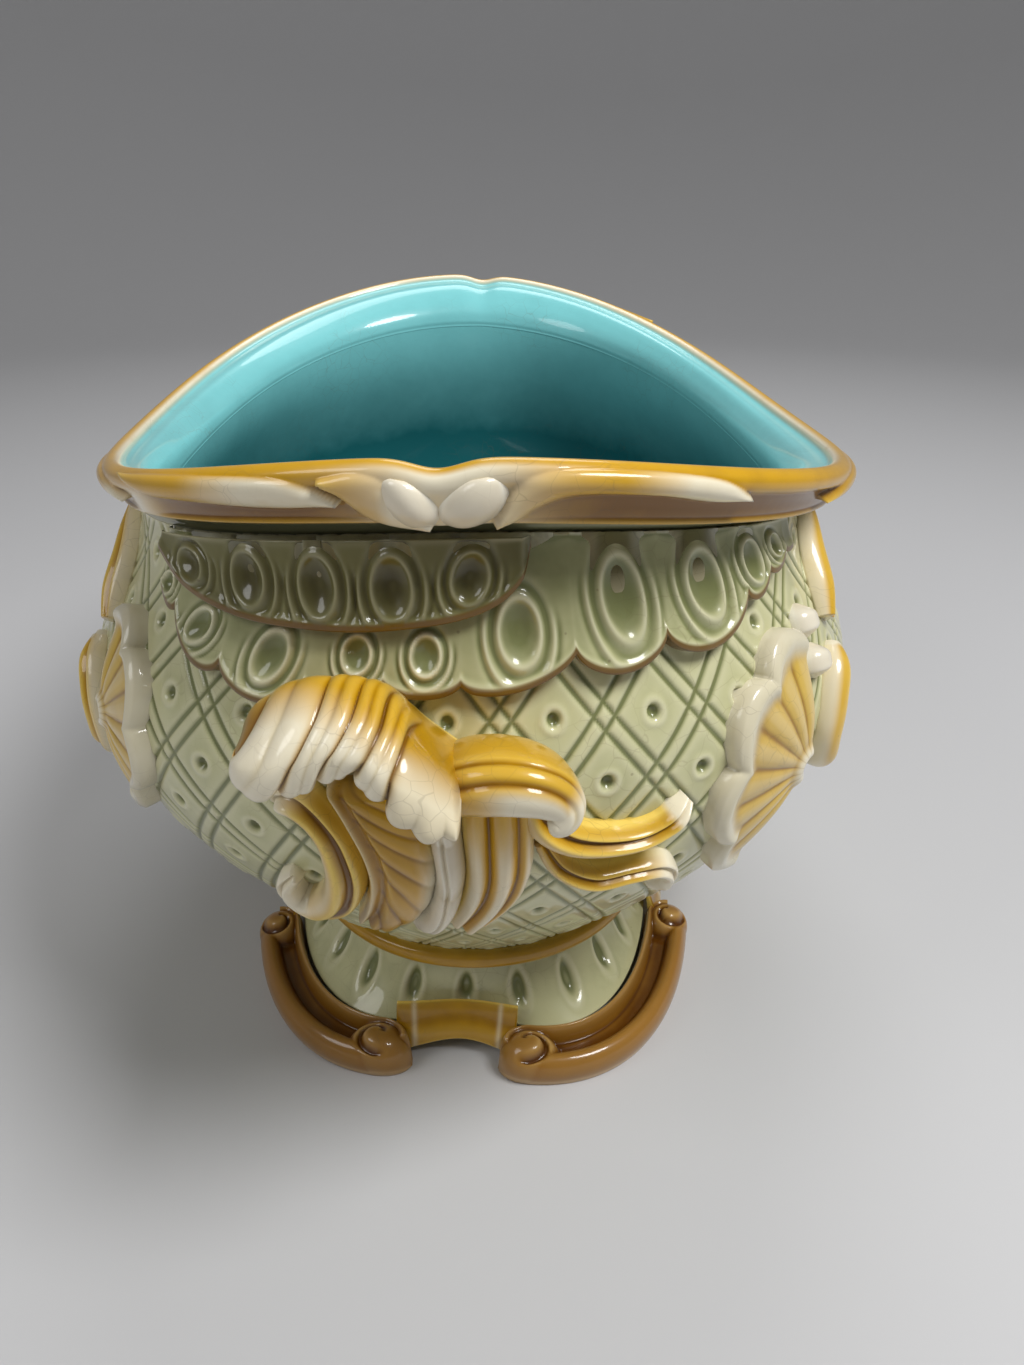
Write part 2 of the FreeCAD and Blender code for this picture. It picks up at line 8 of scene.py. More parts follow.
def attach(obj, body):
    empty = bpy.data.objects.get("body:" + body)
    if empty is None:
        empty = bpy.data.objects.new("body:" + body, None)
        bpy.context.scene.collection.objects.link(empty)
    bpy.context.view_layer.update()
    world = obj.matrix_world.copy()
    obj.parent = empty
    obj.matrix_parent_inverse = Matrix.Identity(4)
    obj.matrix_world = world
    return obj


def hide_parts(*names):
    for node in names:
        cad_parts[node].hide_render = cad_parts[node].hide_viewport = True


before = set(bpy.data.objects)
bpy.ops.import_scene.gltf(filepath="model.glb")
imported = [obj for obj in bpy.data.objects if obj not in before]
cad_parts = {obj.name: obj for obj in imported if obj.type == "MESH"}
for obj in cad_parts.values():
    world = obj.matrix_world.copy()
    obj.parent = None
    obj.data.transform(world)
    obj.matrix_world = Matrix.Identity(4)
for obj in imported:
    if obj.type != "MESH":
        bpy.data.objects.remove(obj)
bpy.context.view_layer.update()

# Bowl
# The body is pressed earthenware in an oval bombe form, about 7 mm thick, with a trellis cut into the belly.
# Outside it has a thin sage glaze that pools in the cuts; inside it is flooded with turquoise,
# darkened towards the floor by painted shade and by deeper pooled glaze.
# Lengths of the pieces are millimetres; angles run from the near end towards the right side.
MM = 0.001
WAIST_HEIGHT, RIM_HEIGHT, RIM_WAVE = 38.0, 185.0, 13.0
LIP_DEPTH, LIP_DEPTH_WAVE = 14.0, 3.0
WAIST_HALF, BELLY_HALF, NECK_HALF = (94.0, 60.0), (149.0, 113.0), (139.0, 94.0)
BELLY_SHARE = 0.62
FULLNESS = 0.035
WALL, FLOOR = 7.0, 9.0


def ease(value, low, high):
    """Smooth step from 0 at low to 1 at high."""
    share = np.clip((value - low) / (high - low), 0.0, 1.0)
    return share * share * (3.0 - 2.0 * share)


def fade(value, low, high):
    """Smooth step from 1 at low to 0 at high."""
    return 1.0 - ease(value, low, high)


def hump(value, centre, half):
    """Rounded hump of height 1 about a centre."""
    return np.exp(-((value - centre) / half) ** 2)


def unit(vectors):
    return vectors / np.maximum(np.linalg.norm(vectors, axis=-1, keepdims=True), 1e-9)


def oval(angle, half_length, half_width, height, skew=0.0):
    """Point of an oval ring with slightly full corners."""
    grow = 1 + FULLNESS * (1 - np.cos(4 * angle)) / 2 + skew * np.sin(2 * angle)
    return np.stack(np.broadcast_arrays(
        half_length * grow * np.cos(angle), half_width * grow * np.sin(angle), height), -1)


def rim_height(angle):
    return RIM_HEIGHT + RIM_WAVE * np.cos(2 * angle)


def neck_height(angle):
    return rim_height(angle) - LIP_DEPTH - LIP_DEPTH_WAVE * np.cos(2 * angle)


def swell(share, waist, belly, neck):
    low = waist + (belly - waist) * np.sin(pi / 2 * np.clip(share, -0.2, BELLY_SHARE) / BELLY_SHARE)
    climb = (share - BELLY_SHARE) / (1 - BELLY_SHARE)
    return np.where(share < BELLY_SHARE, low, belly - (belly - neck) * (1 - np.cos(pi * climb)) / 2)


def bowl_ring(angle, share, inset=0.0):
    """Point of the bowl's side at a share of the height from waist to neck."""
    halves = [swell(share, *sizes) - inset for sizes in zip(WAIST_HALF, BELLY_HALF, NECK_HALF)]
    return oval(angle, *halves, WAIST_HEIGHT + share * (neck_height(angle) - WAIST_HEIGHT))


def bowl_slopes(angle, share):
    nudge = 0.001
    along = bowl_ring(angle + nudge, share) - bowl_ring(angle - nudge, share)
    up = bowl_ring(angle, share + nudge) - bowl_ring(angle, share - nudge)
    return along / (2 * nudge), up / (2 * nudge)


def on_bowl(angle, share, out=0.0):
    """Point on the outside of the bowl, moved out along the surface's normal."""
    angle, share = np.broadcast_arrays(np.asarray(angle, float), np.asarray(share, float))
    normal = unit(np.cross(*bowl_slopes(angle, share)))
    return bowl_ring(angle, share) + normal * np.asarray(out)[..., None]


def grid_normals(points):
    """Normals of a grid whose columns go round and whose rows may be open."""
    round_way = np.roll(points, -1, 1) - np.roll(points, 1, 1)
    return unit(np.cross(round_way, np.gradient(points, axis=0)))


def relief(points, rounds):
    """How far each point lies under (positive) or over its smoothed surroundings."""
    smooth = points
    for _ in range(rounds):
        ends = np.concatenate([smooth[:1], smooth, smooth[-1:]])
        smooth = (np.roll(smooth, 1, 1) + np.roll(smooth, -1, 1) + ends[:-2] + ends[2:]) / 4
    return np.einsum("ijk,ijk->ij", smooth - points, grid_normals(points))


def add_node(tree, kind, inputs=None, **settings):
    """Shader node with its settings; an input is a constant or a socket to link."""
    node = tree.nodes.new(kind)
    for name, value in settings.items():
        setattr(node, name, value)
    for name, value in (inputs or {}).items():
        if isinstance(value, bpy.types.NodeSocket):
            tree.links.new(value, node.inputs[name])
        elif isinstance(value, tuple) and len(value) == 3 and node.inputs[name].type == "RGBA":
            node.inputs[name].default_value = value + (1.0,)
        else:
            node.inputs[name].default_value = value
    return node


# Colours that all glazes share: bare cream, turquoise flood and its dark depth, which also paints shade,
# brown line, olive wash, which also paints shaded sage under the lip, cracks and pits
BARE, BARE_POOLED = (0.83, 0.76, 0.58), (0.52, 0.38, 0.12)
SEA, SEA_POOLED_AND_SHADED = (0.210, 0.600, 0.620), (0.002, 0.100, 0.112)
RUST, RUST_POOLED = (0.21, 0.118, 0.020), (0.11, 0.055, 0.006)
OLIVE_WASH_AND_SHADE, CRACK, PIT = (0.27, 0.27, 0.145), (0.16, 0.11, 0.05), (0.10, 0.06, 0.025)
# Patterns in metres: scales, how far the crackle is bent, then the edges and strengths of cracks and pits
CLOUD_SCALE, STREAK_SCALE, BEND_SCALE, PATCH_SCALE = 55.0, 240.0, 90.0, 26.0
CRACK_SCALE, PIT_SCALE, CRACK_BEND = 190.0, 95.0, 0.006
CRACK_EDGE, CRACK_PATCH, PIT_EDGE = (0.004, 0.022), (0.46, 0.66), (0.022, 0.040)
CRACK_STRENGTH, PIT_STRENGTH = 0.20, 0.35
GLAZE_ROUGHNESS, GLAZE_SPECULAR, COAT, COAT_ROUGHNESS = 0.30, 0.25, 0.6, 0.05
RIPPLE, RIPPLE_HEIGHT = 0.12, 0.0012


def make_glaze_group():
    """Glaze colour: pooled in hollows, dark in painted shade, thin on edges, with mottling, fine crackle and
    pits.
    """
    tree = bpy.data.node_groups.new("glaze_colour", "ShaderNodeTree")
    for name in ("Base", "Pooled_and_shaded", "Thin"):
        tree.interface.new_socket(name, in_out="INPUT", socket_type="NodeSocketColor")
    tree.interface.new_socket("Colour", in_out="OUTPUT", socket_type="NodeSocketColor")
    tree.interface.new_socket("Height", in_out="OUTPUT", socket_type="NodeSocketFloat")

    def node(kind, inputs=None, **settings):
        return add_node(tree, "ShaderNode" + kind, inputs, **settings).outputs

    def calculate(operation, first, second, clamp=False):
        return node("Math", {0: first, 1: second}, operation=operation, use_clamp=clamp)[0]

    def plus(first, second, clamp=False):
        return calculate("ADD", first, second, clamp)

    def times(first, second, clamp=False):
        return calculate("MULTIPLY", first, second, clamp)

    def less(first, second):
        return calculate("SUBTRACT", first, second)

    def mix(factor, first, second):
        return node("Mix", {0: factor, 6: first, 7: second}, data_type="RGBA")[2]

    def span(value, low, high):
        """Value mapped so that low gives 0 and high gives 1."""
        inputs = {"Value": value, "From Min": low, "From Max": high}
        return node("MapRange", inputs, interpolation_type="SMOOTHSTEP")[0]

    def noise(scale, detail=2.0):
        return node("TexNoise", {"Vector": place, "Scale": scale, "Detail": detail})

    given = tree.nodes.new("NodeGroupInput").outputs
    place = node("TexCoord")["Object"]
    tone = node("Attribute", attribute_name="tone")["Color"]
    paint = node("Attribute", attribute_name="paint")
    pooled, thin, shade = node("SeparateColor", {0: tone})
    cream, flood, line = node("SeparateColor", {0: paint["Color"]})

    cloud = noise(CLOUD_SCALE, detail=3.0)[0]
    streak = noise(STREAK_SCALE)[0]
    uneven = less(plus(times(cloud, 0.85), times(streak, 0.30)), 0.55)
    # deep gathers pooled glaze, mottling and the shade mask; the mask holds pooling and, on some pieces,
    # painted shade
    deep = plus(plus(pooled, uneven), shade, clamp=True)
    high = times(thin, plus(uneven, 0.95), clamp=True)
    colour = mix(deep, given["Base"], given["Pooled_and_shaded"])
    colour = mix(high, colour, given["Thin"])

    bare = mix(times(deep, 0.6), BARE, BARE_POOLED)
    colour = mix(times(cream, plus(uneven, 1.05), clamp=True), colour, bare)
    # Turquoise depth: mottling, and the shade mask, which paints shade in the lining
    depth = plus(times(uneven, 0.3), shade, clamp=True)
    colour = mix(flood, colour, mix(times(depth, 0.95), SEA, SEA_POOLED_AND_SHADED))
    # The olive wash is real olive on shell rims, and painted shade on the lip's foot set back under its face
    colour = mix(paint["Alpha"], colour, OLIVE_WASH_AND_SHADE)
    colour = mix(line, colour, mix(cloud, RUST, RUST_POOLED))

    bend = node("VectorMath", {0: noise(BEND_SCALE)["Color"], 3: CRACK_BEND}, operation="SCALE")[0]
    bent = node("VectorMath", {0: place, 1: bend}, operation="ADD")[0]
    cells = {"Vector": bent, "Scale": CRACK_SCALE}
    edges = node("TexVoronoi", cells, feature="DISTANCE_TO_EDGE")["Distance"]
    patch = span(noise(PATCH_SCALE)[0], *CRACK_PATCH)
    crack = times(less(1.0, span(edges, *CRACK_EDGE)), patch)
    colour = mix(times(crack, CRACK_STRENGTH), colour, CRACK)
    dots = node("TexVoronoi", {"Vector": place, "Scale": PIT_SCALE})["Distance"]
    pits = less(1.0, span(dots, *PIT_EDGE))
    colour = mix(times(pits, PIT_STRENGTH), colour, PIT)
    result = tree.nodes.new("NodeGroupOutput")
    tree.links.new(colour, result.inputs["Colour"])
    tree.links.new(plus(cloud, times(streak, 0.3)), result.inputs["Height"])
    return tree


glaze_group = make_glaze_group()


def glaze(name, base, pooled, thin):
    """Glossy lead glaze of three colours over clay: its name and its material."""
    # pooled is the colour of pooled glaze, and also of painted shade from the shade mask
    material = bpy.data.materials.new(name)
    material.use_nodes = True
    tree = material.node_tree
    surface = tree.nodes["Principled BSDF"]
    tint = add_node(tree, "ShaderNodeGroup", node_tree=glaze_group)
    for socket, colour in zip(("Base", "Pooled_and_shaded", "Thin"), (base, pooled, thin)):
        tint.inputs[socket].default_value = colour + (1.0,)
    bumps = {"Height": tint.outputs["Height"], "Strength": RIPPLE, "Distance": RIPPLE_HEIGHT}
    tree.links.new(tint.outputs["Colour"], surface.inputs["Base Color"])
    tree.links.new(add_node(tree, "ShaderNodeBump", bumps).outputs[0], surface.inputs["Normal"])
    surface.inputs["Roughness"].default_value = GLAZE_ROUGHNESS
    surface.inputs["Specular IOR Level"].default_value = GLAZE_SPECULAR
    surface.inputs["Coat Weight"].default_value = COAT
    surface.inputs["Coat Roughness"].default_value = COAT_ROUGHNESS
    return name, material


def faces_of(rows, columns, loop):
    """Faces of a tube: columns go round; rows go round too in a loop, or are closed by a middle point."""
    index = np.arange(rows * columns).reshape(rows, columns)
    low, high = (index, np.roll(index, -1, 0)) if loop else (index[:-1], index[1:])
    quads = np.stack([low, np.roll(low, -1, 1), np.roll(high, -1, 1), high], -1).reshape(-1, 4).tolist()
    if not loop:
        first, last = index[0], index[-1]
        quads += [(b, a, rows * columns) for a, b in zip(first.tolist(), np.roll(first, -1).tolist())]
        quads += [(a, b, rows * columns + 1) for a, b in zip(last.tolist(), np.roll(last, -1).tolist())]
    return quads


# Weights that turn a place on the oval into a rough outward direction
OUTWARD = np.array([1.0, 1.6, 0.0])


def facing(points):
    """1 where a grid's normals point away from the middle of the planter, otherwise -1."""
    return np.sign(np.einsum("ijk,ijk->ij", grid_normals(points), points * OUTWARD).mean())


def add_object(name, data):
    thing = bpy.data.objects.new(name, data)
    bpy.context.scene.collection.objects.link(thing)
    return thing


# Words that change in a piece's name when the planter is turned half a turn
TURNED = {"near": "far", "left": "right", "right": "left"}


def turned(name):
    """Name of the twin at the opposite place; a piece that goes all the way round is its own twin."""
    return "_".join(TURNED.get(word, word) for word in name.split("_"))


def add_piece(name, points, finish, loop=False, cream=0.0, flood=0.0, line=0.0, wash=0.0, shade=0.0,
              rounds=10, depth=0.5):
    """Glazed piece from a grid of points, and its twin, the same piece turned half a turn about Z.

    Masks say where it is cream, turquoise, lined brown or washed olive, and shade darkens its glaze where
    glaze pools, evenly, and as painted shade; the olive wash also paints shaded sage under the lip. Rounds
    and depth say how wide and how deep a hollow is where glaze pools.
    """
    slot, material = finish
    masks = [np.broadcast_to(mask, points.shape[:2]) for mask in (cream, flood, line, wash, shade)]
    masks = np.stack(masks, -1)
    if facing(points) < 0:
        points, masks = points[:, ::-1], masks[:, ::-1]
    paint = np.clip(masks[..., :4], 0, 1)
    sunk = relief(points, rounds) / depth
    tone = np.stack([np.clip(sunk, 0, 1), np.clip(-sunk, 0, 1), masks[..., 4], np.ones_like(sunk)], -1)
    tone[..., :2] *= 1.0 - paint[..., 1:2]
    flat = [grid.reshape(-1, grid.shape[-1]) for grid in (points, tone, paint)]
    if not loop:
        middles = [np.stack([grid[0].mean(0), grid[-1].mean(0)]) for grid in (points, tone, paint)]
        flat = [np.concatenate(pair) for pair in zip(flat, middles)]
    mesh = bpy.data.meshes.new(name)
    mesh.from_pydata((flat[0] * MM).tolist(), [], faces_of(*points.shape[:2], loop))
    for label, values in zip(("tone", "paint"), flat[1:]):
        mesh.color_attributes.new(label, "FLOAT_COLOR", "POINT").data.foreach_set("color", values.ravel())
    mesh.shade_smooth()
    mesh.materials.append(material)
    for node, turn in zip(dict.fromkeys((name, turned(name))), (0.0, pi)):
        piece = add_object(node + "_glazed", mesh)
        piece.rotation_euler.z = turn
        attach(piece, "root")
        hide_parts(node)


# Trellis: the middle of one diamond and the pitch, in degrees and as height shares, then lengths
DIAMOND_PLACE, PITCH = (13.3, 0.43), (11.25, 0.204)
PITCH_LENGTH, PITCH_WIDTH, PITCH_HEIGHT = 18.0, 23.0, 27.0
LINE_ASIDE, LINE_HALF, LINE_DEPTH, CUT_POOL = 1.9, 0.62, 0.62, 0.85
DIMPLE_EDGE, DIMPLE_DEPTH = (0.7, 1.9), 1.4
RING_RADIUS, RING_HALF, RING_LIFT = 2.6, 0.6, 0.25
BOWL_COLUMNS, BOWL_ROWS, LINING_ROWS = 1440, 270, 40
# The lining's first rows lie close together under the lip, and the very first reaches over the wall
LINING_TOP, LINING_START, LINING_OVERLAP = (1.0, 0.9975, 0.9945), 0.985, 2.0
# Painted shade, with deeper pooled glaze: the turquoise lining darkens from under the lip to the floor
LINING_POOL_AND_SHADE, LINING_SHADE_START, LINING_SHADE_LENGTH = 1.3, 0.97, 0.45
FLOOR_ROUNDING, FLOOR_DISH = 0.93, 0.6


def trellis(degrees, share):
    """Depth of the paired cuts and of the dimple in each diamond, then how much glaze pools there."""
    column = (degrees - DIAMOND_PLACE[0]) / PITCH[0]
    row = (share - DIAMOND_PLACE[1]) / PITCH[1]
    cut = np.zeros_like(column)
    for diagonal in (column + row, column - row):
        off_middle = (np.mod(diagonal, 1.0) - 0.5) * PITCH_LENGTH
        for line in (-LINE_ASIDE, LINE_ASIDE):
            cut = np.maximum(cut, hump(off_middle, line, LINE_HALF))
    nearest = np.full_like(column, np.inf)
    for shift in (0.0, 0.5):
        aside = (column - shift - np.round(column - shift)) * PITCH_WIDTH
        rise = (row - shift - np.round(row - shift)) * PITCH_HEIGHT
        nearest = np.minimum(nearest, np.hypot(aside, rise))
    dimple = fade(nearest, *DIMPLE_EDGE)
    depth = LINE_DEPTH * cut + DIMPLE_DEPTH * dimple - RING_LIFT * hump(nearest, RING_RADIUS, RING_HALF)
    return depth, CUT_POOL * np.maximum(cut, dimple)


angles = np.linspace(0, 2 * pi, BOWL_COLUMNS, endpoint=False)[None, :]
outer_share = np.linspace(0, 1, BOWL_ROWS)[:, None]
cuts, cut_pools = trellis(np.degrees(angles) + 0 * outer_share, outer_share + 0 * angles)
outside = on_bowl(angles, outer_share, -cuts)
floor_share = FLOOR / (RIM_HEIGHT - LIP_DEPTH - WAIST_HEIGHT)
lower_share = np.linspace(LINING_START, floor_share, LINING_ROWS - len(LINING_TOP))
inner_share = np.concatenate([LINING_TOP, lower_share])[:, None]
inner_inset = np.where(inner_share == 1.0, WALL - LINING_OVERLAP, WALL)
inside = bowl_ring(angles + 0 * inner_share, inner_share + 0 * angles, inner_inset)
floor_edge = inside[-1:] * np.array([FLOOR_ROUNDING, FLOOR_ROUNDING, 1.0]) - np.array([0, 0, FLOOR_DISH])
bowl_points = np.concatenate([outside, inside, floor_edge])
flooded = np.arange(len(bowl_points))[:, None] >= BOWL_ROWS - 1
bowl_shade = np.zeros(bowl_points.shape[:2])
bowl_shade[:BOWL_ROWS] = cut_pools
# Painted shade inside the bowl, partly pooled glaze: none at the top, strongest low down and on the floor
bowl_shade[BOWL_ROWS:-1] = LINING_POOL_AND_SHADE * ease(LINING_SHADE_START - inner_share, 0.0, LINING_SHADE_LENGTH)
bowl_shade[-1] = LINING_POOL_AND_SHADE
sage_glaze = glaze("sage_glaze", (0.57, 0.56, 0.315), (0.20, 0.215, 0.085), (0.76, 0.73, 0.50))
add_piece("bowl", bowl_points, sage_glaze, flood=flooded, shade=bowl_shade, depth=0.6)

# Lip
# A flaring wavy lip, luted to the neck, with a rolled edge and long leaves over a hollow channel.
# Its ochre glaze runs thin to cream on the leaf tips; the turquoise of the inside ends at the roll.
LIP_HALF = (155.0, 103.0)
LIP_SKEW = 0.02
# Rows: share from neck to lip ring, inset, share from neck to rim, rise
LIP_STATIONS = (
    (0, 5.5, -0.17, 0), (0, 6.955, -0.11, 0), (0, 7.005, -0.05, 0), (0.003, 7.01, 0.06, 0),
    (0.08, 7, 0.28, 0), (0.28, 7, 0.52, 0), (0.62, 7, 0.78, 0), (1, 6.6, 1, -2.2), (1, 4.9, 1, -0.5),
    (1, 2.9, 1, 0), (1, 1.1, 1, -1.2), (1, 0.8, 1, -3), (1, 1.7, 1, -5.2), (1, 2.8, 0.5, 0),
    (1, 3.8, 0.33, 0), (0.85, 3.4, 0.26, 0), (0.4, 1, 0.2, 0), (0.12, 0.2, 0.1, 0), (0.05, 0.5, 0, -0.5),
)
STATION_STEPS = 8
LIP_COLUMNS, LIP_ROWS = 960, len(LIP_STATIONS) * STATION_STEPS
# Places counted in stations: the face and its ends, where turquoise and ochre end, a cream and a brown line
FACE_START, FACE_LENGTH = 9.4, 5.6
FACE_TOP, FACE_FOOT = (9.2, 10.0), (14.6, 15.4)
FLOOD_END, OCHRE_END = (7.0, 7.9), (15.3, 15.8)
CREAM_LINE, BROWN_LINE = 7.9, 15.0
CREST, NOTCH_DEPTH, NOTCH_HALF = -4.0, 2.0, 3.4
LEAF_LIFT, HOLLOW_DEPTH = 1.6, 1.1
# Lip leaves: angles, shares of the face's height, half widths, and where the glaze runs to cream
LIP_LEAVES = (
    ((-46, -40, -30, -20, -14), (0.1, 0.24, 0.36, 0.46, 0.6), (0.04, 0.22, 0.26, 0.24, 0.03), (-34, -24)),
    ((-16, -12, -8, -4.5), (0.28, 0.48, 0.7, 0.86), (0.05, 0.3, 0.28, 0.05), (-12, -8)),
    ((1.5, 3.5, 6, 10, 18, 25, 29), (0.9, 0.66, 0.44, 0.32, 0.3, 0.38, 0.46),
     (0.06, 0.24, 0.24, 0.22, 0.22, 0.22, 0.03), (13, 24)),
    ((44, 52, 62, 74, 80), (0.62, 0.44, 0.34, 0.36, 0.44), (0.05, 0.18, 0.2, 0.18, 0.03), (72, 77)),
    ((-80, -74, -62, -54, -48), (0.44, 0.36, 0.34, 0.44, 0.62), (0.03, 0.18, 0.2, 0.18, 0.05),
     (-56, -51)),
)


def dome(share):
    """Round section of height 1 between -1 and 1."""
    return np.sqrt(np.clip(1.0 - share * share, 0.0, 1.0))


def curve(rows, count):
    """Smooth curve through rows of numbers, as count rows."""
    rows = np.asarray(rows, float)
    place = np.linspace(0.0, len(rows) - 1.0, count)
    gap = np.minimum(place.astype(int), len(rows) - 2)
    s = (place - gap).reshape((-1,) + (1,) * (rows.ndim - 1))
    a, b = rows[np.maximum(gap - 1, 0)], rows[gap]
    c, d = rows[gap + 1], rows[np.minimum(gap + 2, len(rows) - 1)]
    bend = (2 * a - 5 * b + 4 * c - d) * s ** 2 + (3 * b - a - 3 * c + d) * s ** 3
    return 0.5 * (2 * b + (c - a) * s + bend)


def half_turn_degrees(angle):
    """Angle in degrees from the end that is nearer, since the ornament repeats every half turn."""
    return np.mod(np.degrees(angle) + 90.0, 180.0) - 90.0


def lip_ring(angle, station):
    outward, inset, climb, rise = station
    halves = [neck + outward * (lip - neck) - inset for neck, lip in zip(NECK_HALF, LIP_HALF)]
    neck, rim = neck_height(angle), rim_height(angle)
    notch = NOTCH_DEPTH * hump(half_turn_degrees(angle), CREST, NOTCH_HALF)
    return oval(angle, *halves, neck + climb * (rim - neck - notch) + rise, LIP_SKEW * outward)


def lip_relief(degrees, face):
    """Height of the leaves and channel on the lip's face, then where it is cream, then the channel's pooled
    glaze and painted shade.
    """
    leaf, cream = np.zeros_like(face), np.zeros_like(face)
    for where, middle, half, (cream_from, cream_to) in LIP_LEAVES:
        path, level, width = curve(np.array([where, middle, half]).T, 80).T
        width = width * dome(np.linspace(-1, 1, 80)) ** 0.5 + 0.01
        off_middle = (face - np.interp(degrees, path, level)) / np.interp(degrees, path, width)
        lift = np.clip(1 - off_middle ** 2, 0, 1) * ((degrees > where[0]) & (degrees < where[-1]))
        ends = ease(degrees, cream_from, cream_to)
        leaf, cream = np.maximum(leaf, lift), np.maximum(cream, np.minimum(lift * 1.6, 1.0) * ends)
    cream = np.maximum(cream, 0.98 * hump(degrees, -3.0, 8.5) * ease(face, -0.2, 0.1))
    cream = np.maximum(cream, 0.8 * hump(degrees, -45.0, 4.0) * ease(face, 0.25, 0.5))
    hollow = ease(face, 0.34, 0.5) * fade(face, 0.82, 0.92) * (1.0 - hump(degrees, -2.5, 9.0))
    hollow = hollow * (1.0 - np.minimum(leaf * 1.5, 1.0)) * (1.0 - hump(degrees, -44.0, 4.0))
    return LEAF_LIFT * leaf - HOLLOW_DEPTH * hollow, cream, hollow


ring_angles = np.linspace(0, 2 * pi, LIP_COLUMNS, endpoint=False)
stations = [lip_ring(ring_angles, station) for station in LIP_STATIONS]
stations = [stations[-1]] + stations + stations[:2]
lip_points = curve(stations, (len(stations) - 1) * STATION_STEPS + 1)
lip_points = lip_points[STATION_STEPS:STATION_STEPS + LIP_ROWS]
place = np.linspace(0, len(LIP_STATIONS), LIP_ROWS, endpoint=False)[:, None]
face_share = np.clip((place - FACE_START) / FACE_LENGTH, 0.0, 1.0) + 0 * ring_angles
on_face = ease(place, *FACE_TOP) * fade(place, *FACE_FOOT)
lip_degrees = half_turn_degrees(ring_angles)[None, :] + 0 * face_share
lift, lip_cream, lip_hollow = lip_relief(lip_degrees, face_share)
lip_normals = grid_normals(lip_points)
face_row = 10 * STATION_STEPS
lip_normals *= np.sign(np.einsum("ijk,ijk->ij", lip_normals, lip_points)[face_row].mean())
lip_points = lip_points + lip_normals * (lift * on_face)[..., None]
ochre_glaze = glaze("ochre_glaze", (0.57, 0.305, 0.004), (0.21, 0.088, 0.001), (0.86, 0.62, 0.13))
# The shade mask darkens the hollow channel under the leaves: pooled glaze and painted shade. The olive wash
# paints the lip's set-back foot as sage in painted shade.
add_piece("rim_lip", lip_points, ochre_glaze, loop=True, flood=fade(place, *FLOOD_END),
          cream=lip_cream * on_face + 0.9 * hump(place, CREAM_LINE, 0.5),
          line=0.9 * hump(place, BROWN_LINE, 0.4), wash=ease(place, *OCHRE_END),
          shade=lip_hollow * on_face, rounds=8, depth=1.1)

# Crest buds
# Two plump buds of clay meet under the notch of the lip at each end.
# They are rolled by hand and pressed on with a thumb, and their cream glaze is thick at the edges.
# Buds: side, angle, half width in degrees, slant
CREST_BUDS = (("left", -7, 3.3, -0.75), ("right", -0.6, 3.7, 0.75))
BUD_SINK, BUD_LIFT, BUD_SWELL = 0.8, 3.0, 1.6
BUD_TOP, BUD_LENGTH = -0.05, 1.18
FACE_TOP_STATION, FACE_FOOT_STATION = 11, 14
cream_glaze = glaze("cream_glaze", (0.76, 0.69, 0.54), (0.50, 0.38, 0.16), (0.84, 0.80, 0.68))


def lip_face(angle, fall, out):
    """Point before the lip's face, from the roll down to its lower edge."""
    high = lip_ring(angle, LIP_STATIONS[FACE_TOP_STATION])
    low = lip_ring(angle, LIP_STATIONS[FACE_FOOT_STATION])
    return high + (low - high) * fall[..., None] + unit(high * OUTWARD) * out[..., None]


s, q = np.linspace(0, 1, 40)[:, None], np.linspace(-1, 1, 31)[None, :]
plump = dome(0.96 * (2 * s - 1)) ** 0.8
for side, degrees, half, slant in CREST_BUDS:
    bud_angle = np.radians(degrees + slant * (1 - 2 * s) + q * half * plump)
    height = (BUD_LIFT + BUD_SWELL * s) * plump * (1 - q * q) - BUD_SINK
    bud_points = lip_face(bud_angle, BUD_TOP + BUD_LENGTH * s + 0 * q, height)
    add_piece("near_crest_bud_" + side, bud_points, cream_glaze)

# Collar
# Two thin rolled slabs lie over the shoulder at each end: a scalloped flounce and, over it, a panel.
# Both are stamped with egg ovals; a brown glaze line is drawn along their lower edges.
COLLAR_TOP, COLLAR_CLIMB = 0.998, neck_height(0.0) - WAIST_HEIGHT
FLOUNCE_ENDS, FLOUNCE_SEAT, FLOUNCE_THICK = (-43.0, 47.0), 0.2, 3.1
PANEL_ENDS, PANEL_SEAT, PANEL_THICK = (-41.8, 5.8), 3.4, 2.4
# Thickness shares of the last rows, which round off a slab's lower edge
SLAB_EDGE = np.array([0.98, 0.85, 0.6, 0.3, 0.0, -0.6])
# Scallops of the flounce: the cusps between them as angle and height share, then how deep each hangs
FLOUNCE_CUSPS = (
    (-43.5, 0.945), (-38, 0.872), (-29.2, 0.805), (-18.6, 0.785), (-10, 0.792), (-2, 0.792),
    (10.3, 0.832), (21, 0.848), (33.6, 0.888), (38.8, 0.917), (43.5, 0.94), (47.5, 0.96),
)
FLOUNCE_HANG = (0.03, 0.04, 0.038, 0.018, 0.019, 0.03, 0.042, 0.05, 0.026, 0.02, 0.014)
PANEL_EDGE = (
    (-42, 0.985), (-39, 0.945), (-35, 0.908), (-27, 0.877), (-18, 0.866), (-11, 0.866), (-3, 0.879),
    (2, 0.903), (4.8, 0.94), (5.9, 0.985),
)
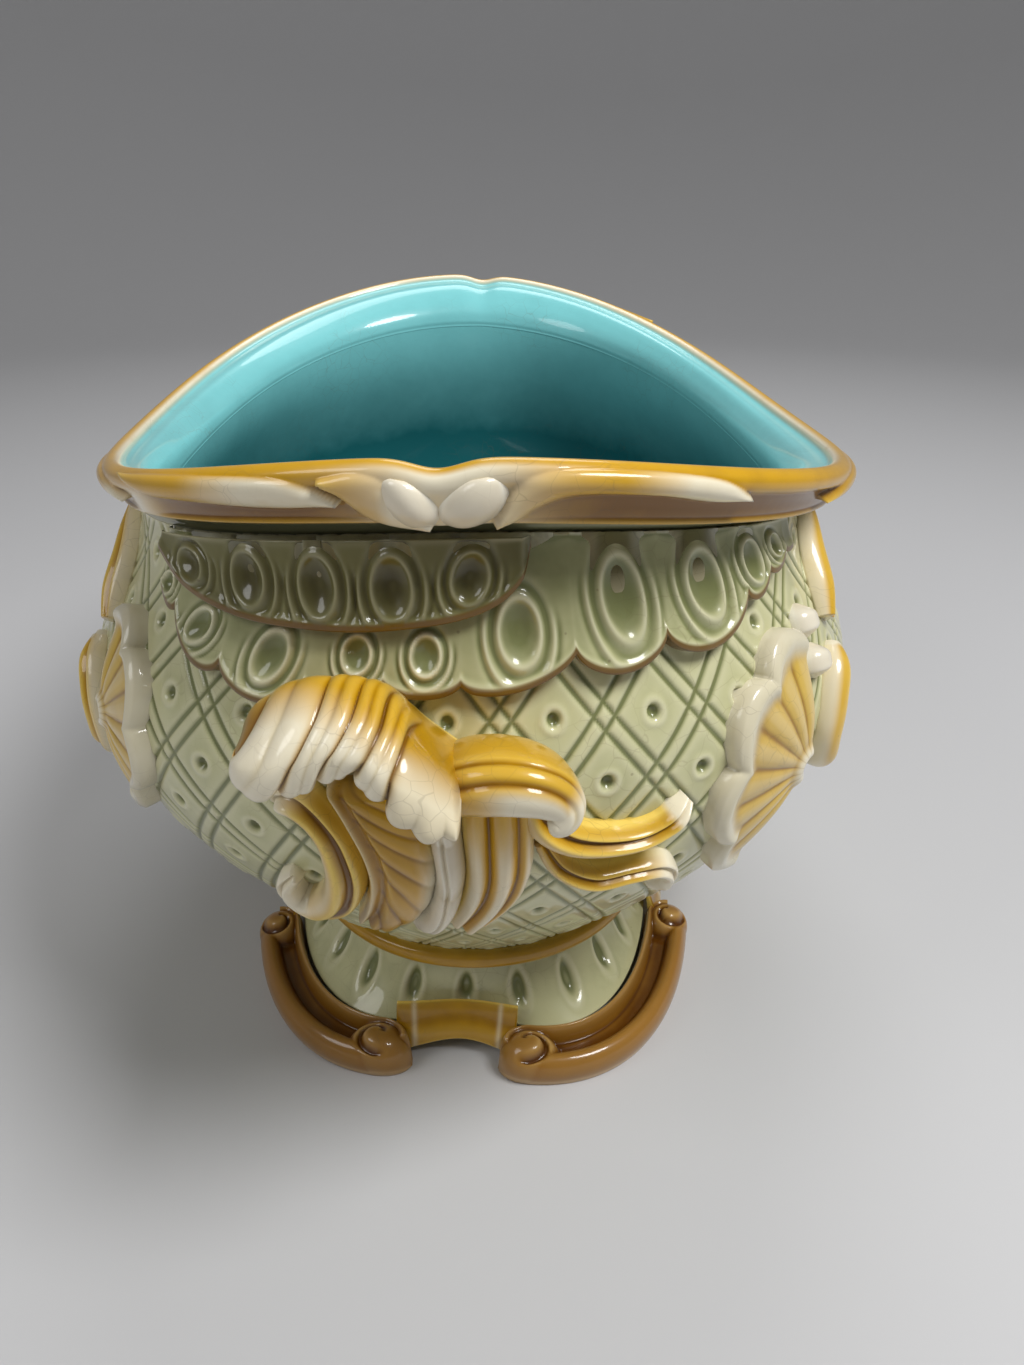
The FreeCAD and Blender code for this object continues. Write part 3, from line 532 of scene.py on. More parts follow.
# Egg ovals: angle, height share, half width in degrees, half height share, slant
FLOUNCE_EGGS = (
    (-40.4, 0.905, 1.2, 0.02, 0), (-33.2, 0.852, 1.9, 0.028, 0.5), (-22.9, 0.824, 2.1, 0.038, 0.6),
    (-13.1, 0.832, 1.6, 0.027, 0), (-5.7, 0.832, 1.6, 0.028, 0), (4.3, 0.862, 2.3, 0.048, 0),
    (16.2, 0.905, 2.5, 0.064, -0.3), (27.2, 0.915, 2.5, 0.056, -0.4), (35.6, 0.938, 1.8, 0.038, -0.4),
    (41, 0.955, 1.3, 0.022, -0.4),
)
PANEL_EGGS = (
    (-34.6, 0.948, 1.9, 0.03, -0.8), (-25.9, 0.937, 2.1, 0.044, -0.8), (-17.4, 0.93, 2.1, 0.048, -0.6),
    (-9.2, 0.928, 2.2, 0.048, -0.3), (-0.9, 0.942, 2, 0.038, 0.3),
)


def scallops(degrees):
    """Height share of the flounce's lower edge."""
    where, share = np.array(FLOUNCE_CUSPS).T
    lobe = np.clip(np.searchsorted(where, degrees, side="right") - 1, 0, len(FLOUNCE_HANG) - 1)
    across = np.clip((degrees - where[lobe]) / (where[lobe + 1] - where[lobe]), 0, 1)
    line = share[lobe] + (share[lobe + 1] - share[lobe]) * across
    return line - np.array(FLOUNCE_HANG)[lobe] * (4 * across * (1 - across)) ** 0.62


def eggs(degrees, share, ovals):
    """Stamped ovals: a raised rim about a hollow, in a moat with an outer ridge below."""
    height, hollow = np.zeros_like(degrees), np.zeros_like(degrees)
    for middle, level, half, tall, slant in ovals:
        aside = degrees - middle - slant * (share - level) / tall
        reach = np.hypot(aside / half, (share - level) / tall)
        low = ease((level - share) / tall, -0.9, 0.3)
        stamp = 0.65 * hump(reach, 1.0, 0.16) - fade(reach, 0.15, 0.95) - 0.4 * hump(reach, 1.36, 0.18)
        stamp += low * (0.5 * hump(reach, 1.66, 0.14) - 0.3 * hump(reach, 1.92, 0.14))
        near = fade(np.abs(aside) / half, 2.0, 2.5)
        height, hollow = height + stamp * near, np.maximum(hollow, fade(reach, 0.4, 0.95))
    return height, hollow


def tier(ends, edge, seat, thickness, ovals, rows):
    """One collar slab: its points, the brown of its edge and the pooling in its ovals."""
    first, last = ends
    degrees = np.linspace(first, last, rows)[:, None]
    fall = np.concatenate([np.linspace(0, 1, 64) ** 0.85, np.ones(5)])[None, :]
    low = edge(degrees)
    share = COLLAR_TOP + (low - COLLAR_TOP) * fall
    degrees = degrees + 0 * fall
    to_edge = (share - low) * COLLAR_CLIMB
    stamp, hollow = eggs(degrees, share, ovals)
    stamp *= ease(to_edge, 1.0, 2.6) * ease(COLLAR_TOP - share, 0.002, 0.012)
    bead = 0.35 * hump(to_edge, 1.5, 1.0)
    inner = ease(degrees, first, first + 1.2) * fade(degrees, last - 1.2, last)
    out = seat + (thickness * (0.55 + 0.45 * fall) + stamp + bead) * inner
    hem = inner[:, -len(SLAB_EDGE):]
    out[:, -len(SLAB_EDGE):] = seat + hem * thickness * SLAB_EDGE - 0.5 * (1 - hem)
    brown = fade(to_edge, 1.0, 1.8)
    return on_bowl(np.radians(degrees), share, out), brown, hollow * ease(to_edge, 1.0, 2.0)


def panel_line(degrees):
    return np.interp(degrees, *curve(PANEL_EDGE, 200).T)


# The panel's olive is its thick glaze's own colour, darkened further with painted shade under the lip.
olive_glaze = glaze("olive_glaze", (0.170, 0.160, 0.060), (0.055, 0.044, 0.008), (0.40, 0.38, 0.23))
flounce, brown_edge, hollows = tier(FLOUNCE_ENDS, scallops, FLOUNCE_SEAT, FLOUNCE_THICK, FLOUNCE_EGGS, 520)
# Painted shade: the flounce is darkened all over, most at its top under the panel and lip; its egg hollows
# pool glaze.
down = np.linspace(0, 1, flounce.shape[1])[None, :]
add_piece("near_flounce", flounce, sage_glaze, line=brown_edge,
          shade=0.385 * hollows + 0.72 * (1 - 0.6 * down ** 1.5), depth=0.42)
panel, brown_edge, hollows = tier(PANEL_ENDS, panel_line, PANEL_SEAT, PANEL_THICK, PANEL_EGGS, 340)
add_piece("near_panel", panel, olive_glaze, line=brown_edge, shade=0.55 * hollows, depth=0.42)

# Waist band and pedestal
# An ochre bead of clay covers the joint between the bowl and the hollow pedestal that is luted under it.
# The pedestal spreads into four lobes and has a row of thumbed drop-shaped flutes under the sage glaze.
BAND_HEIGHT, BAND_PROUD, PEDESTAL_LIFT, PEDESTAL_WALL = 6.0, 3.0, 9.0, 8.0
PEDESTAL_HALF = (92.0, 62.0)
LOBE, LOBE_SHIFT, LOBE_TURN = 0.11, 0.2, math.radians(7.0)
# Flutes: how many, turn of the row, middle as a rise share, half height share, half width, taper, depth
DROP_COUNT, DROP_SHIFT, DROP_MIDDLE, DROP_HALF = 30, 0.30, 0.40, 0.25
DROP_WIDTH, DROP_TAPER, DROP_DEPTH, DROP_RIM = 2.9, 1.5, 1.4, 0.2
# Sections: rise and spread shares of the pedestal's side, then proud and rise shares of the band
PEDESTAL_SIDE = ((0, 1), (0.25, 0.62), (0.5, 0.32), (0.75, 0.12), (1, 0))
BAND_SECTION = ((0, 0), (0.75, 0.15), (1, 0.5), (0.75, 0.85), (0, 1), (-6, 1), (-6, 0))


def pedestal_ring(angle, rise, spread, inset=0.0):
    turn = angle + LOBE_SHIFT * np.sin(2 * angle) + LOBE_TURN
    grow = 1 + LOBE * spread * (1 - np.cos(4 * turn)) / 2
    top = [half - PEDESTAL_WALL for half in WAIST_HALF]
    halves = [(t + (low - t) * spread - inset) * grow for t, low in zip(top, PEDESTAL_HALF)]
    return oval(angle, *halves, PEDESTAL_LIFT + (WAIST_HEIGHT - BAND_HEIGHT - PEDESTAL_LIFT) * rise)


def band_ring(angle, proud, rise):
    halves = [half + BAND_PROUD * proud for half in WAIST_HALF]
    return oval(angle, *halves, WAIST_HEIGHT - BAND_HEIGHT * (1 - rise))


band_rings = np.array([band_ring(ring_angles[::2], *section) for section in BAND_SECTION])
band_points = np.concatenate([curve(band_rings[:5], 25), band_rings[5:]])
add_piece("waist_band", band_points, ochre_glaze, loop=True, shade=0.40, depth=3.0)

side = curve(PEDESTAL_SIDE, 60)
round_angles = np.linspace(0, 2 * pi, 900, endpoint=False)
outer = np.array([pedestal_ring(round_angles, rise, spread) for rise, spread in side])
inner = np.array([pedestal_ring(round_angles, rise, spread, PEDESTAL_WALL) for rise, spread in side[::-6]])
flute_ring = outer[24]
steps = np.linalg.norm(np.diff(flute_ring, axis=0, append=flute_ring[:1]), axis=1)
along = np.concatenate([[0], np.cumsum(steps)[:-1]]) / steps.sum()
drop = along * DROP_COUNT + DROP_SHIFT
aside = (drop - np.round(drop)) * steps.sum() / DROP_COUNT
rise = side[:, :1] - DROP_MIDDLE
reach = np.hypot(aside[None, :] / (DROP_WIDTH - DROP_TAPER * rise), rise / DROP_HALF)
flutes = DROP_RIM * hump(reach, 1.2, 0.2) - DROP_DEPTH * fade(reach, 0.35, 1.0)
outer = outer + grid_normals(outer) * flutes[..., None]
pedestal_points = np.concatenate([outer, inner])
pedestal_shade = np.zeros(pedestal_points.shape[:2])
pedestal_shade[:len(outer)] = 0.5 * fade(reach, 0.4, 1.0)
add_piece("pedestal", pedestal_points, sage_glaze, loop=True, shade=pedestal_shade, depth=0.45)

# Feet and aprons
# Four scroll feet, rolled by hand with a thumbed channel and curled ends, carry the planter; brown glaze.
# Between them hang coved ochre aprons, clear of the floor; a small brown bud sits over each long one.
SEAM = 0.2
FOOT_WIDTH, CHANNEL_HEIGHT, KNOB_HEIGHT = 16.2, 5.6, 12.8
ROLL_HEIGHT, ROLL_HALF, EDGE_HEIGHT, EDGE_HALF, ROLL_TUCK = 9.6, 4.4, 11.5, 2.0, 0.28
CURL_RADIUS, CURL_OPENING, CURL_HALF, CURL_DEPTH = 4.0, 0.9, 0.75, 2.2
APRON_DEPTH, APRON_HEIGHT, APRON_LIFT, APRON_ARCH, APRON_OVERLAP = 6.0, 17.0, 2.0, 4.5, 3.5
APRON_LINE = 0.13
FOOT_BUD_ANGLE, FOOT_BUD_HALF, FOOT_BUD_RISE, FOOT_BUD_LENGTH = math.radians(74.0), 6.0, 0.42, 0.5
FOOT_BUD_BULGE = 7.0
RIGHT_FOOT, LEFT_FOOT = (6.0, 66.0), (-19.0, -68.0)
# Section of an apron as shares of its depth and height
APRON_SECTION = (
    (0.02, 1), (0.2, 0.98), (0.35, 0.86), (0.55, 0.6), (0.85, 0.35), (1, 0.12), (0.95, 0), (0.4, 0),
)
brown_glaze = glaze("brown_glaze", (0.26, 0.115, 0.012), (0.09, 0.028, 0.001), (0.46, 0.27, 0.08))


def pedestal_edge(angle, out, height):
    """Point beside the pedestal's standing edge."""
    edge = pedestal_ring(angle, 0.0, 1.0)
    tangent = pedestal_ring(angle + 0.001, 0.0, 1.0) - pedestal_ring(angle - 0.001, 0.0, 1.0)
    normal = unit(np.cross(tangent, np.array([0.0, 0.0, 1.0])))
    point = edge[:, None, :] + normal[:, None, :] * out[..., None]
    point[..., 2] = height
    return point


def make_foot(first, last):
    """Scroll foot between two angles: its points and where its glaze is deep."""
    angle = np.radians(np.linspace(first, last, 150))
    edge = pedestal_ring(angle, 0.0, 1.0)
    run = np.concatenate([[0], np.cumsum(np.linalg.norm(np.diff(edge, axis=0), axis=1))])
    from_end = np.minimum(run, run[-1] - run)[:, None]
    radius = FOOT_WIDTH / 2
    narrow = dome(1 - np.clip(from_end / radius, 0.02, 1))
    aside = radius * narrow * np.sin(pi / 2 * np.linspace(-1, 1, 70))[None, :]
    to_side = radius - np.hypot(np.clip(radius - from_end, 0, radius), aside)
    half, high = np.where(aside < 0, EDGE_HALF, ROLL_HALF), np.where(aside < 0, EDGE_HEIGHT, ROLL_HEIGHT)
    roll = high * dome(np.clip(to_side / half - 1, -1, 1))
    floor = CHANNEL_HEIGHT * ease(to_side, 0.5, 3.0)
    reach = np.hypot(from_end - radius, aside)
    round_curl = np.arctan2(aside, from_end - radius)
    knob = KNOB_HEIGHT * dome(np.clip(reach / radius, 0, 1)) ** 0.8
    groove = hump(reach, CURL_RADIUS + CURL_OPENING * round_curl, CURL_HALF) * (reach < radius)
    groove = groove * ease(from_end - radius, -3.0, 1.0)
    height = np.clip(np.maximum(np.maximum(roll, floor), knob) - CURL_DEPTH * groove, 0.0, None)
    tuck = 1.0 - ROLL_TUCK * (1.0 - np.clip(height / ROLL_HEIGHT, 0, 1)) ** 2 * (aside > 0)
    channel = ease(to_side, 3.0, 6.5) * fade(height, CHANNEL_HEIGHT, CHANNEL_HEIGHT + 3.0)
    shade = np.clip(0.95 * channel + 0.9 * groove, 0, 1)
    return pedestal_edge(angle, SEAM + radius + aside * tuck, height), shade


def make_apron(first, last):
    """Coved apron between two feet: its points and the cream of its two upright lines."""
    angle = np.radians(np.linspace(first - APRON_OVERLAP, last + APRON_OVERLAP, 80))
    share = np.linspace(0, 1, 80)[:, None]
    out, climb = curve(APRON_SECTION, 40).T[:, None, :]
    arch = APRON_LIFT + APRON_ARCH * np.sin(pi * share) ** 0.8
    points = pedestal_edge(angle, SEAM + APRON_DEPTH * out + 0 * share, arch + (APRON_HEIGHT - arch) * climb)
    return points, 0.6 * np.maximum(hump(share, APRON_LINE, 0.018), hump(share, 1 - APRON_LINE, 0.018))


for node, ends in (("near_right_foot", RIGHT_FOOT), ("near_left_foot", LEFT_FOOT)):
    foot_points, foot_shade = make_foot(*ends)
    add_piece(node, foot_points, brown_glaze, shade=foot_shade, rounds=8)
for node, ends in (("near_apron", (LEFT_FOOT[0], RIGHT_FOOT[0])),
                   ("right_apron", (RIGHT_FOOT[1], 180.0 + LEFT_FOOT[1]))):
    apron_points, apron_cream = make_apron(*ends)
    add_piece(node, apron_points, ochre_glaze, cream=apron_cream, shade=0.55)

s, q = np.linspace(0, 1, 40)[:, None], np.linspace(-1, 1, 31)[None, :]
plump = np.sin(pi * np.clip(0.05 + 0.9 * s, 0, 1)) ** 0.7
bud_angle = FOOT_BUD_ANGLE + q * plump * FOOT_BUD_HALF / PEDESTAL_HALF[0]
bud_rise = FOOT_BUD_RISE + FOOT_BUD_LENGTH * s + 0 * q
bud_spread = np.interp(bud_rise, *np.array(PEDESTAL_SIDE).T)
bud_points = pedestal_ring(bud_angle, bud_rise, bud_spread, SEAM - FOOT_BUD_BULGE * plump * dome(q))
add_piece("right_foot_bud", bud_points, brown_glaze)

# Handle leaf and roll
# At each end a big leaf curls out over the belly and meets a rolled volute at a seam; both are hand-made.
# Ochre glaze covers their tops, gathers in the folds and runs off to cream on the tips.
# The leaf's curves run from the seam outwards, and go from the top joint over the front to the joint below.
LEAF_CURVES = (
    ((148, -3, 139), (148, -10, 145), (147, -16, 150), (146, -23, 150), (143, -31, 149), (141, -38, 147),
     (138, -45, 143)),
    ((160, -4, 142), (160, -10, 149), (158, -16, 157), (156, -23, 159), (154, -31, 158), (152, -38, 155),
     (149, -46, 149)),
    ((168, -4, 143), (169, -10, 149), (169, -16, 154), (167, -23, 156), (165, -31, 155), (162, -39, 152),
     (157, -47, 147)),
    ((174, -4, 139), (175, -10, 143), (175, -17, 148), (172, -24, 151), (170, -32, 149), (168, -40, 146),
     (162, -48, 145)),
    ((174, -4, 136), (174, -10, 136), (173, -17, 140), (170, -24, 146), (168, -32, 142), (166, -41, 139),
     (161, -48, 142)),
    ((166, -4, 136), (166, -9, 136), (165, -16, 140), (163, -23, 144), (161, -31, 141), (159, -39, 139),
     (157, -46, 142)),
    ((148, -4, 128), (148, -9, 129), (147, -16, 131), (146, -23, 132), (144, -30, 132), (142, -37, 133),
     (139, -44, 138)),
)
# Axis of the roll and its radius, from the seam to the curl under its free end
ROLL_ROWS = (
    (157, -9, 133, 5), (161, -3, 137.4, 6.2), (163, 2.5, 139.3, 6.2), (164, 8, 139.3, 5.9),
    (164, 12.5, 137.6, 5.3), (164, 15, 134.8, 4.5), (164.5, 14.4, 132.2, 3.7), (165.5, 12, 131.8, 2.4),
)
# Folds between the leaf's lobes, as shares of its length from the seam, and their lean towards the top
LEAF_FOLDS = np.array([-0.03, 0.37, 0.49, 0.62, 0.76, 1.04])
FOLD_LEAN = 0.055
LOBE_DEPTH, FINE_DEPTH, TIP_SWELL, SCALLOP_SWELL = 1.5, 0.5, 1.6, 1.5
# Grooves of the roll: turn from its front, half width and depth as a share of the radius
ROLL_GROOVES = ((0.55, 0.15, 0.11), (1.3, 0.14, 0.09))


def rounded_ends(s, near=0.08, far=0.08):
    """Share that falls to 0 in a round at both ends of a piece."""
    return dome(1 - np.clip(s / near, 0, 1)) * dome(1 - np.clip((1 - s) / far, 0, 1))


def loft(curves, rows, columns):
    """Smooth grid through curves: rows along them, columns across them."""
    across = np.array([curve(points, rows) for points in curves])
    return np.swapaxes(curve(across, columns), 0, 1)


leaf = loft(LEAF_CURVES, 200, 130)
s, v = np.linspace(0, 1, 200)[:, None], np.linspace(0, len(LEAF_CURVES) - 1, 130)[None, :]
fold_place = s + FOLD_LEAN * np.clip(4.0 - v, 0, 3.2) * ease(s, 0.0, 0.2)
lobe = np.clip(np.searchsorted(LEAF_FOLDS, fold_place, side="right") - 1, 0, len(LEAF_FOLDS) - 2)
across = (fold_place - LEAF_FOLDS[lobe]) / (LEAF_FOLDS[lobe + 1] - LEAF_FOLDS[lobe])
round_lobe = dome(np.clip(2 * across - 1, -1, 1)) ** 0.7
scallop = np.abs(np.sin(pi * 3.0 * across)) * (lobe == 0)
fine = np.abs(np.sin(pi * 2.0 * across)) * (lobe > 0)
grip = ease(v, 0.4, 1.6) * fade(v, 4.9, 5.6)
tip = hump(v, 4.1, 0.7)
leaf_height = grip * (LOBE_DEPTH * (round_lobe - 1.0) + FINE_DEPTH * (fine - 1.0))
leaf_height = leaf_height + tip * (TIP_SWELL * (round_lobe - 0.5) + SCALLOP_SWELL * scallop)
leaf = leaf + facing(leaf) * grid_normals(leaf) * leaf_height[..., None]
middle = leaf[:, :1] * 0.4 + leaf[:, 60:61] * 0.6
leaf = middle + (leaf - middle) * (0.25 + 0.75 * rounded_ends(s, 0.05, 0.10))[..., None]
cream_from = 2.6 - 0.7 * ease(s, 0.35, 0.75)
leaf_cream = ease(v, cream_from - 0.9, cream_from + 0.5) * ease(round_lobe, 0.2, 0.8)
leaf_shade = 0.8 * fade(round_lobe, 0.0, 0.55) + 0.35 * fade(fine, 0.0, 0.6)
for fold in LEAF_FOLDS[1:3]:
    leaf_shade = leaf_shade + 0.8 * hump(fold_place, fold, 0.014)
add_piece("near_handle_leaf", leaf, ochre_glaze, cream=leaf_cream, shade=leaf_shade * grip, depth=0.7)

roll_path = curve(ROLL_ROWS, 120)
axis, roll_radius = roll_path[:, None, :3], roll_path[:, 3:]
s, turn = np.linspace(0, 1, 120)[:, None], np.linspace(0, 2 * pi, 80, endpoint=False)[None, :]
front = np.array([1.0, 0.0, 0.0])
above = unit(np.cross(front, np.gradient(axis, axis=0)))
above *= np.sign(above[:1, :, 2:])
to_back = np.where(np.cos(turn) < 0, 1.0 + 1.5 * fade(s, 0.55, 0.9), 1.0)
grooves = sum(depth * hump(turn, where, half) for where, half, depth in ROLL_GROOVES)
grooves = grooves * fade(s, 0.7, 0.95)
roll_radius = roll_radius * rounded_ends(s, 0.03, 0.10) * (1 - grooves)
roll = axis + (roll_radius * np.cos(turn) * to_back)[..., None] * front
roll = roll + (roll_radius * np.sin(turn))[..., None] * above
roll_cream = np.maximum(ease(-np.sin(turn), -0.5, 0.05) * ease(s, 0.12, 0.4), ease(s, 0.60, 0.75))
add_piece("near_handle_roll", roll, ochre_glaze, cream=roll_cream,
          shade=0.6 * fade(s, 0.03, 0.14) + 6.0 * grooves, depth=0.7)

# Handle scrolls, drop and sprays
# Under the leaf hang a fluted drop, a cream bud and ribs; a C-scroll curls left and two tendrils curl right.
# They are modelled strips, luted to the trellis, with ochre in their grooves and cream on their tips.
# Rows: angle, height share, half width, relief share
SCROLL_ROWS = (
    (-21, 0.606, 1.6, 0.5), (-20.3, 0.622, 3.4, 0.9), (-18.4, 0.622, 3.8, 1), (-16.6, 0.592, 3.6, 0.9),
    (-15.3, 0.549, 4.2, 0.9), (-15, 0.486, 4.8, 1), (-16.8, 0.42, 4.6, 1), (-20.4, 0.376, 4, 0.9),
    (-23.2, 0.384, 3.4, 0.8), (-23.6, 0.42, 2.8, 0.75), (-22, 0.446, 1.8, 0.5),
)
TENDRIL_ROWS = (
    (4.4, 0.64, 2.6, 0.8), (5.8, 0.595, 3.6, 1), (8.6, 0.562, 3.8, 1), (12.2, 0.546, 3.3, 0.95),
    (16.4, 0.543, 2.7, 0.9), (19.2, 0.554, 2.4, 0.85), (21, 0.574, 2.2, 0.85), (22.4, 0.592, 1.4, 0.5),
)
HOOK_ROWS = (
    (6, 0.55, 1.6, 0.6), (8.2, 0.5, 2.5, 0.9), (12.2, 0.466, 2.8, 1), (16.6, 0.466, 2.6, 0.95),
    (20.2, 0.464, 2.6, 0.95), (22.4, 0.436, 2.5, 0.9), (22.8, 0.4, 2.1, 0.8), (22, 0.374, 1.3, 0.4),
)
# How high the strips stand, and how far all sprigs are pressed into the bowl
SCROLL_LIFT, TENDRIL_LIFT, HOOK_LIFT, SPRIG_SINK = 9.0, 8.0, 7.0, 0.5
# Edges of the wider pieces as angle and height share: left edge, then right edge
DROP_EDGES = (
    ((-15.9, 0.655), (-14.2, 0.608), (-12.7, 0.541), (-12.7, 0.477), (-14.4, 0.403), (-16.5, 0.345)),
    ((-8.5, 0.66), (-6.6, 0.608), (-5.2, 0.555), (-5, 0.48), (-7, 0.385), (-12.2, 0.31)),
)
BUD_EDGES = (
    ((-6.6, 0.64), (-5.6, 0.57), (-5.2, 0.49), (-6.6, 0.4), (-9.8, 0.328)),
    ((-2.2, 0.64), (-2, 0.57), (-1.8, 0.49), (-3, 0.41), (-7, 0.322)),
)
RIBS_EDGES = (
    ((-2.4, 0.66), (-2.2, 0.58), (-2, 0.49), (-2.8, 0.42), (-4.6, 0.35)),
    ((5, 0.65), (5.4, 0.58), (5.4, 0.5), (4, 0.43), (0, 0.345)),
)


def bowl_steps(heading, along, up):
    """Change of angle and of height share for one millimetre along a heading on the bowl."""
    aa, uu, au = [(a * b).sum(-1) for a, b in ((along, along), (up, up), (along, up))]
    da, du = (heading * along).sum(-1), (heading * up).sum(-1)
    whole = aa * uu - au * au
    return (da * uu - du * au) / whole, (du * aa - da * au) / whole


def strip(rows, lift, steps, columns, section):
    """Strip on the bowl along rows; section(s, q) gives its height share across."""
    path = curve(rows, steps)
    angle, share = np.radians(path[:, 0]), path[:, 1]
    travel = np.gradient(on_bowl(angle, share), axis=0)
    along, up = bowl_slopes(angle, share)
    aside = unit(np.cross(np.cross(along, up), travel))
    step_angle, step_share = [step[:, None] for step in bowl_steps(aside, along, up)]
    q = np.sin(pi / 2 * np.linspace(-1, 1, columns))[None, :]
    s = np.linspace(0, 1, steps)[:, None]
    reach = path[:, 2:3] * q
    height = lift * path[:, 3:4] * section(s, q) - SPRIG_SINK
    return on_bowl(angle[:, None] + step_angle * reach, share[:, None] + step_share * reach, height), s, q


def between(edges, steps, columns, height):
    """Piece on the bowl between two edge lines; height(s, q) in millimetres."""
    left, right = [curve(edge, steps)[:, None, :] for edge in edges]
    s = np.linspace(0, 1, steps)[:, None]
    q = np.linspace(0, 1, columns)[None, :]
    place = left + (right - left) * q[..., None]
    return on_bowl(np.radians(place[..., 0]), place[..., 1], height(s, q) - SPRIG_SINK), s, q


def grooved(s, q):
    return dome(q) ** 0.8 - 0.30 * hump(q, 0.30, 0.22)


def drop_flutes(s, q):
    return np.abs(np.sin(pi * (7.0 * s ** 0.9 - 2.8 * q)))


def drop_height(s, q):
    body = (9.0 - 3.0 * s) * dome(2 * q - 1) ** 0.7 + 0.55 * (drop_flutes(s, q) - 0.5) * ease(q, 0.2, 0.4)
    return (body + 1.5 * hump(q, 0.10, 0.07) - 1.2 * hump(q, 0.26, 0.07)) * rounded_ends(s)


def bud_height(s, q):
    across = dome(2 * q - 1)
    lumps = np.abs(np.sin(pi * (3.0 * s + 0.25)))
    body = 7.0 * across ** 0.8 + 1.8 * lumps * across - 0.9 * hump(q, 0.45, 0.06)
    return body * rounded_ends(s, 0.1, 0.2)


def rib_waves(s, q):
    return np.abs(np.sin(pi * (2.6 * q + 0.15 * s)))


def ribs_height(s, q):
    across = dome(2 * q - 1)
    return (9.0 * across ** 0.7 * (1 - 0.3 * s) + 2.4 * (rib_waves(s, q) - 0.6) * across) * rounded_ends(s)


scroll, s, q = strip(SCROLL_ROWS, SCROLL_LIFT, 180, 33, grooved)
scroll_cream = np.maximum(fade(s, 0.08, 0.26), ease(s, 0.66, 0.84)) + 0.5 * ease(-q, 0.2, 0.6)
add_piece("near_handle_scroll", scroll, ochre_glaze, cream=scroll_cream,
          shade=0.8 * hump(q, 0.35, 0.25) * ease(s, 0.15, 0.3) * fade(s, 0.7, 0.85))
for node, rows, lift, tip, edge, groove in (
        ("near_handle_tendril", TENDRIL_ROWS, TENDRIL_LIFT, (0.78, 0.86), 0.45, 0.5),
        ("near_handle_hook", HOOK_ROWS, HOOK_LIFT, (0.45, 0.62), 0.4, 0.4)):
    spray, s, q = strip(rows, lift, 150, 33, grooved)
    add_piece(node, spray, ochre_glaze, cream=ease(s, *tip) + edge * ease(-q, 0.0, 0.5),
              shade=groove * hump(q, 0.3, 0.3) * (1 - s))
drop_points, s, q = between(DROP_EDGES, 200, 90, drop_height)
drop_shade = 0.40 * fade(drop_flutes(s, q), 0.1, 0.5) * ease(q, 0.15, 0.3)
add_piece("near_handle_drop", drop_points, ochre_glaze,
          cream=ease(q, 0.72, 0.98) * ease(s, 0.3, 0.6) + 0.6 * hump(q, 0.10, 0.05),
          shade=drop_shade + 0.35 * fade(q, 0.3, 0.9))
bud_points, s, q = between(BUD_EDGES, 110, 50, bud_height)
add_piece("near_handle_bud", bud_points, cream_glaze, depth=0.7)
ribs_points, s, q = between(RIBS_EDGES, 130, 60, ribs_height)
waves = rib_waves(s, q)
add_piece("near_handle_ribs", ribs_points, ochre_glaze,
          cream=0.75 * ease(waves, 0.55, 0.95) * ease(s, 0.1, 0.4), shade=0.4 * fade(waves, 0.0, 0.4))

# Sprigs of the long sides
# Sprigs, pressed in moulds and luted on, frame both long sides: scrolls, fan shells, pearls, a palmette.
# Ochre lies in their flutes; their rims and the pearls are left cream.
S_SCROLL_ROWS = (
    (64, 0.985, 3, 0.6), (60.5, 0.94, 4.8, 0.9), (57.5, 0.89, 5.5, 1), (55, 0.83, 5, 1),
    (53, 0.78, 3, 0.7),
)
C_SCROLL_ROWS = (
    (52, 0.73, 3, 0.6), (49.8, 0.7, 4.8, 1), (48, 0.65, 5.4, 1), (47.4, 0.59, 5.4, 1), (49, 0.53, 4.8, 1),
    (52, 0.5, 2.6, 0.6),
)
PEARL_ROWS = (
    (46, 0.838, 1.5, 0.2), (45.6, 0.822, 4.6, 0.9), (45.3, 0.806, 5.4, 1), (45.2, 0.792, 4.6, 0.9),
    (45, 0.778, 1.5, 0.2),
)
PALMETTE_ROWS = (
    (90, 0.8, 4, 0.5), (90, 0.75, 10.5, 1), (90, 0.66, 15, 1), (90, 0.54, 12, 0.9), (90, 0.42, 6, 0.7),
    (90, 0.37, 2.5, 0.4),
)
SIDE_TURN, PEARL_STEP = 4.0, 0.07
MOULDING_LIFT, PEARL_LIFT, PALMETTE_LIFT = 6.0, 5.0, 5.0
# Shells: angle, height share, radius, then the headings of the first and last flute in degrees
RIGHT_SHELL, LEFT_SHELL = (41.0, 0.565, 35.0, 84.0, 246.0), (-51.0, 0.640, 27.0, 96.0, -84.0)
SHELL_LOBES, SHELL_FLUTES = 4, 8
SHELL_LIFT, SHELL_RIM, SHELL_BEAD, SHELL_FLUTE, SHELL_EDGE = 2.8, 1.8, 2.6, 0.8, 5.0
shell_glaze = glaze("shell_glaze", (0.66, 0.44, 0.075), (0.33, 0.17, 0.012), (0.82, 0.70, 0.36))


def other_side(rows, turn):
    """Rows mirrored to the left side and turned a little further round."""
    return [(-row[0] - turn,) + tuple(row[1:]) for row in rows]


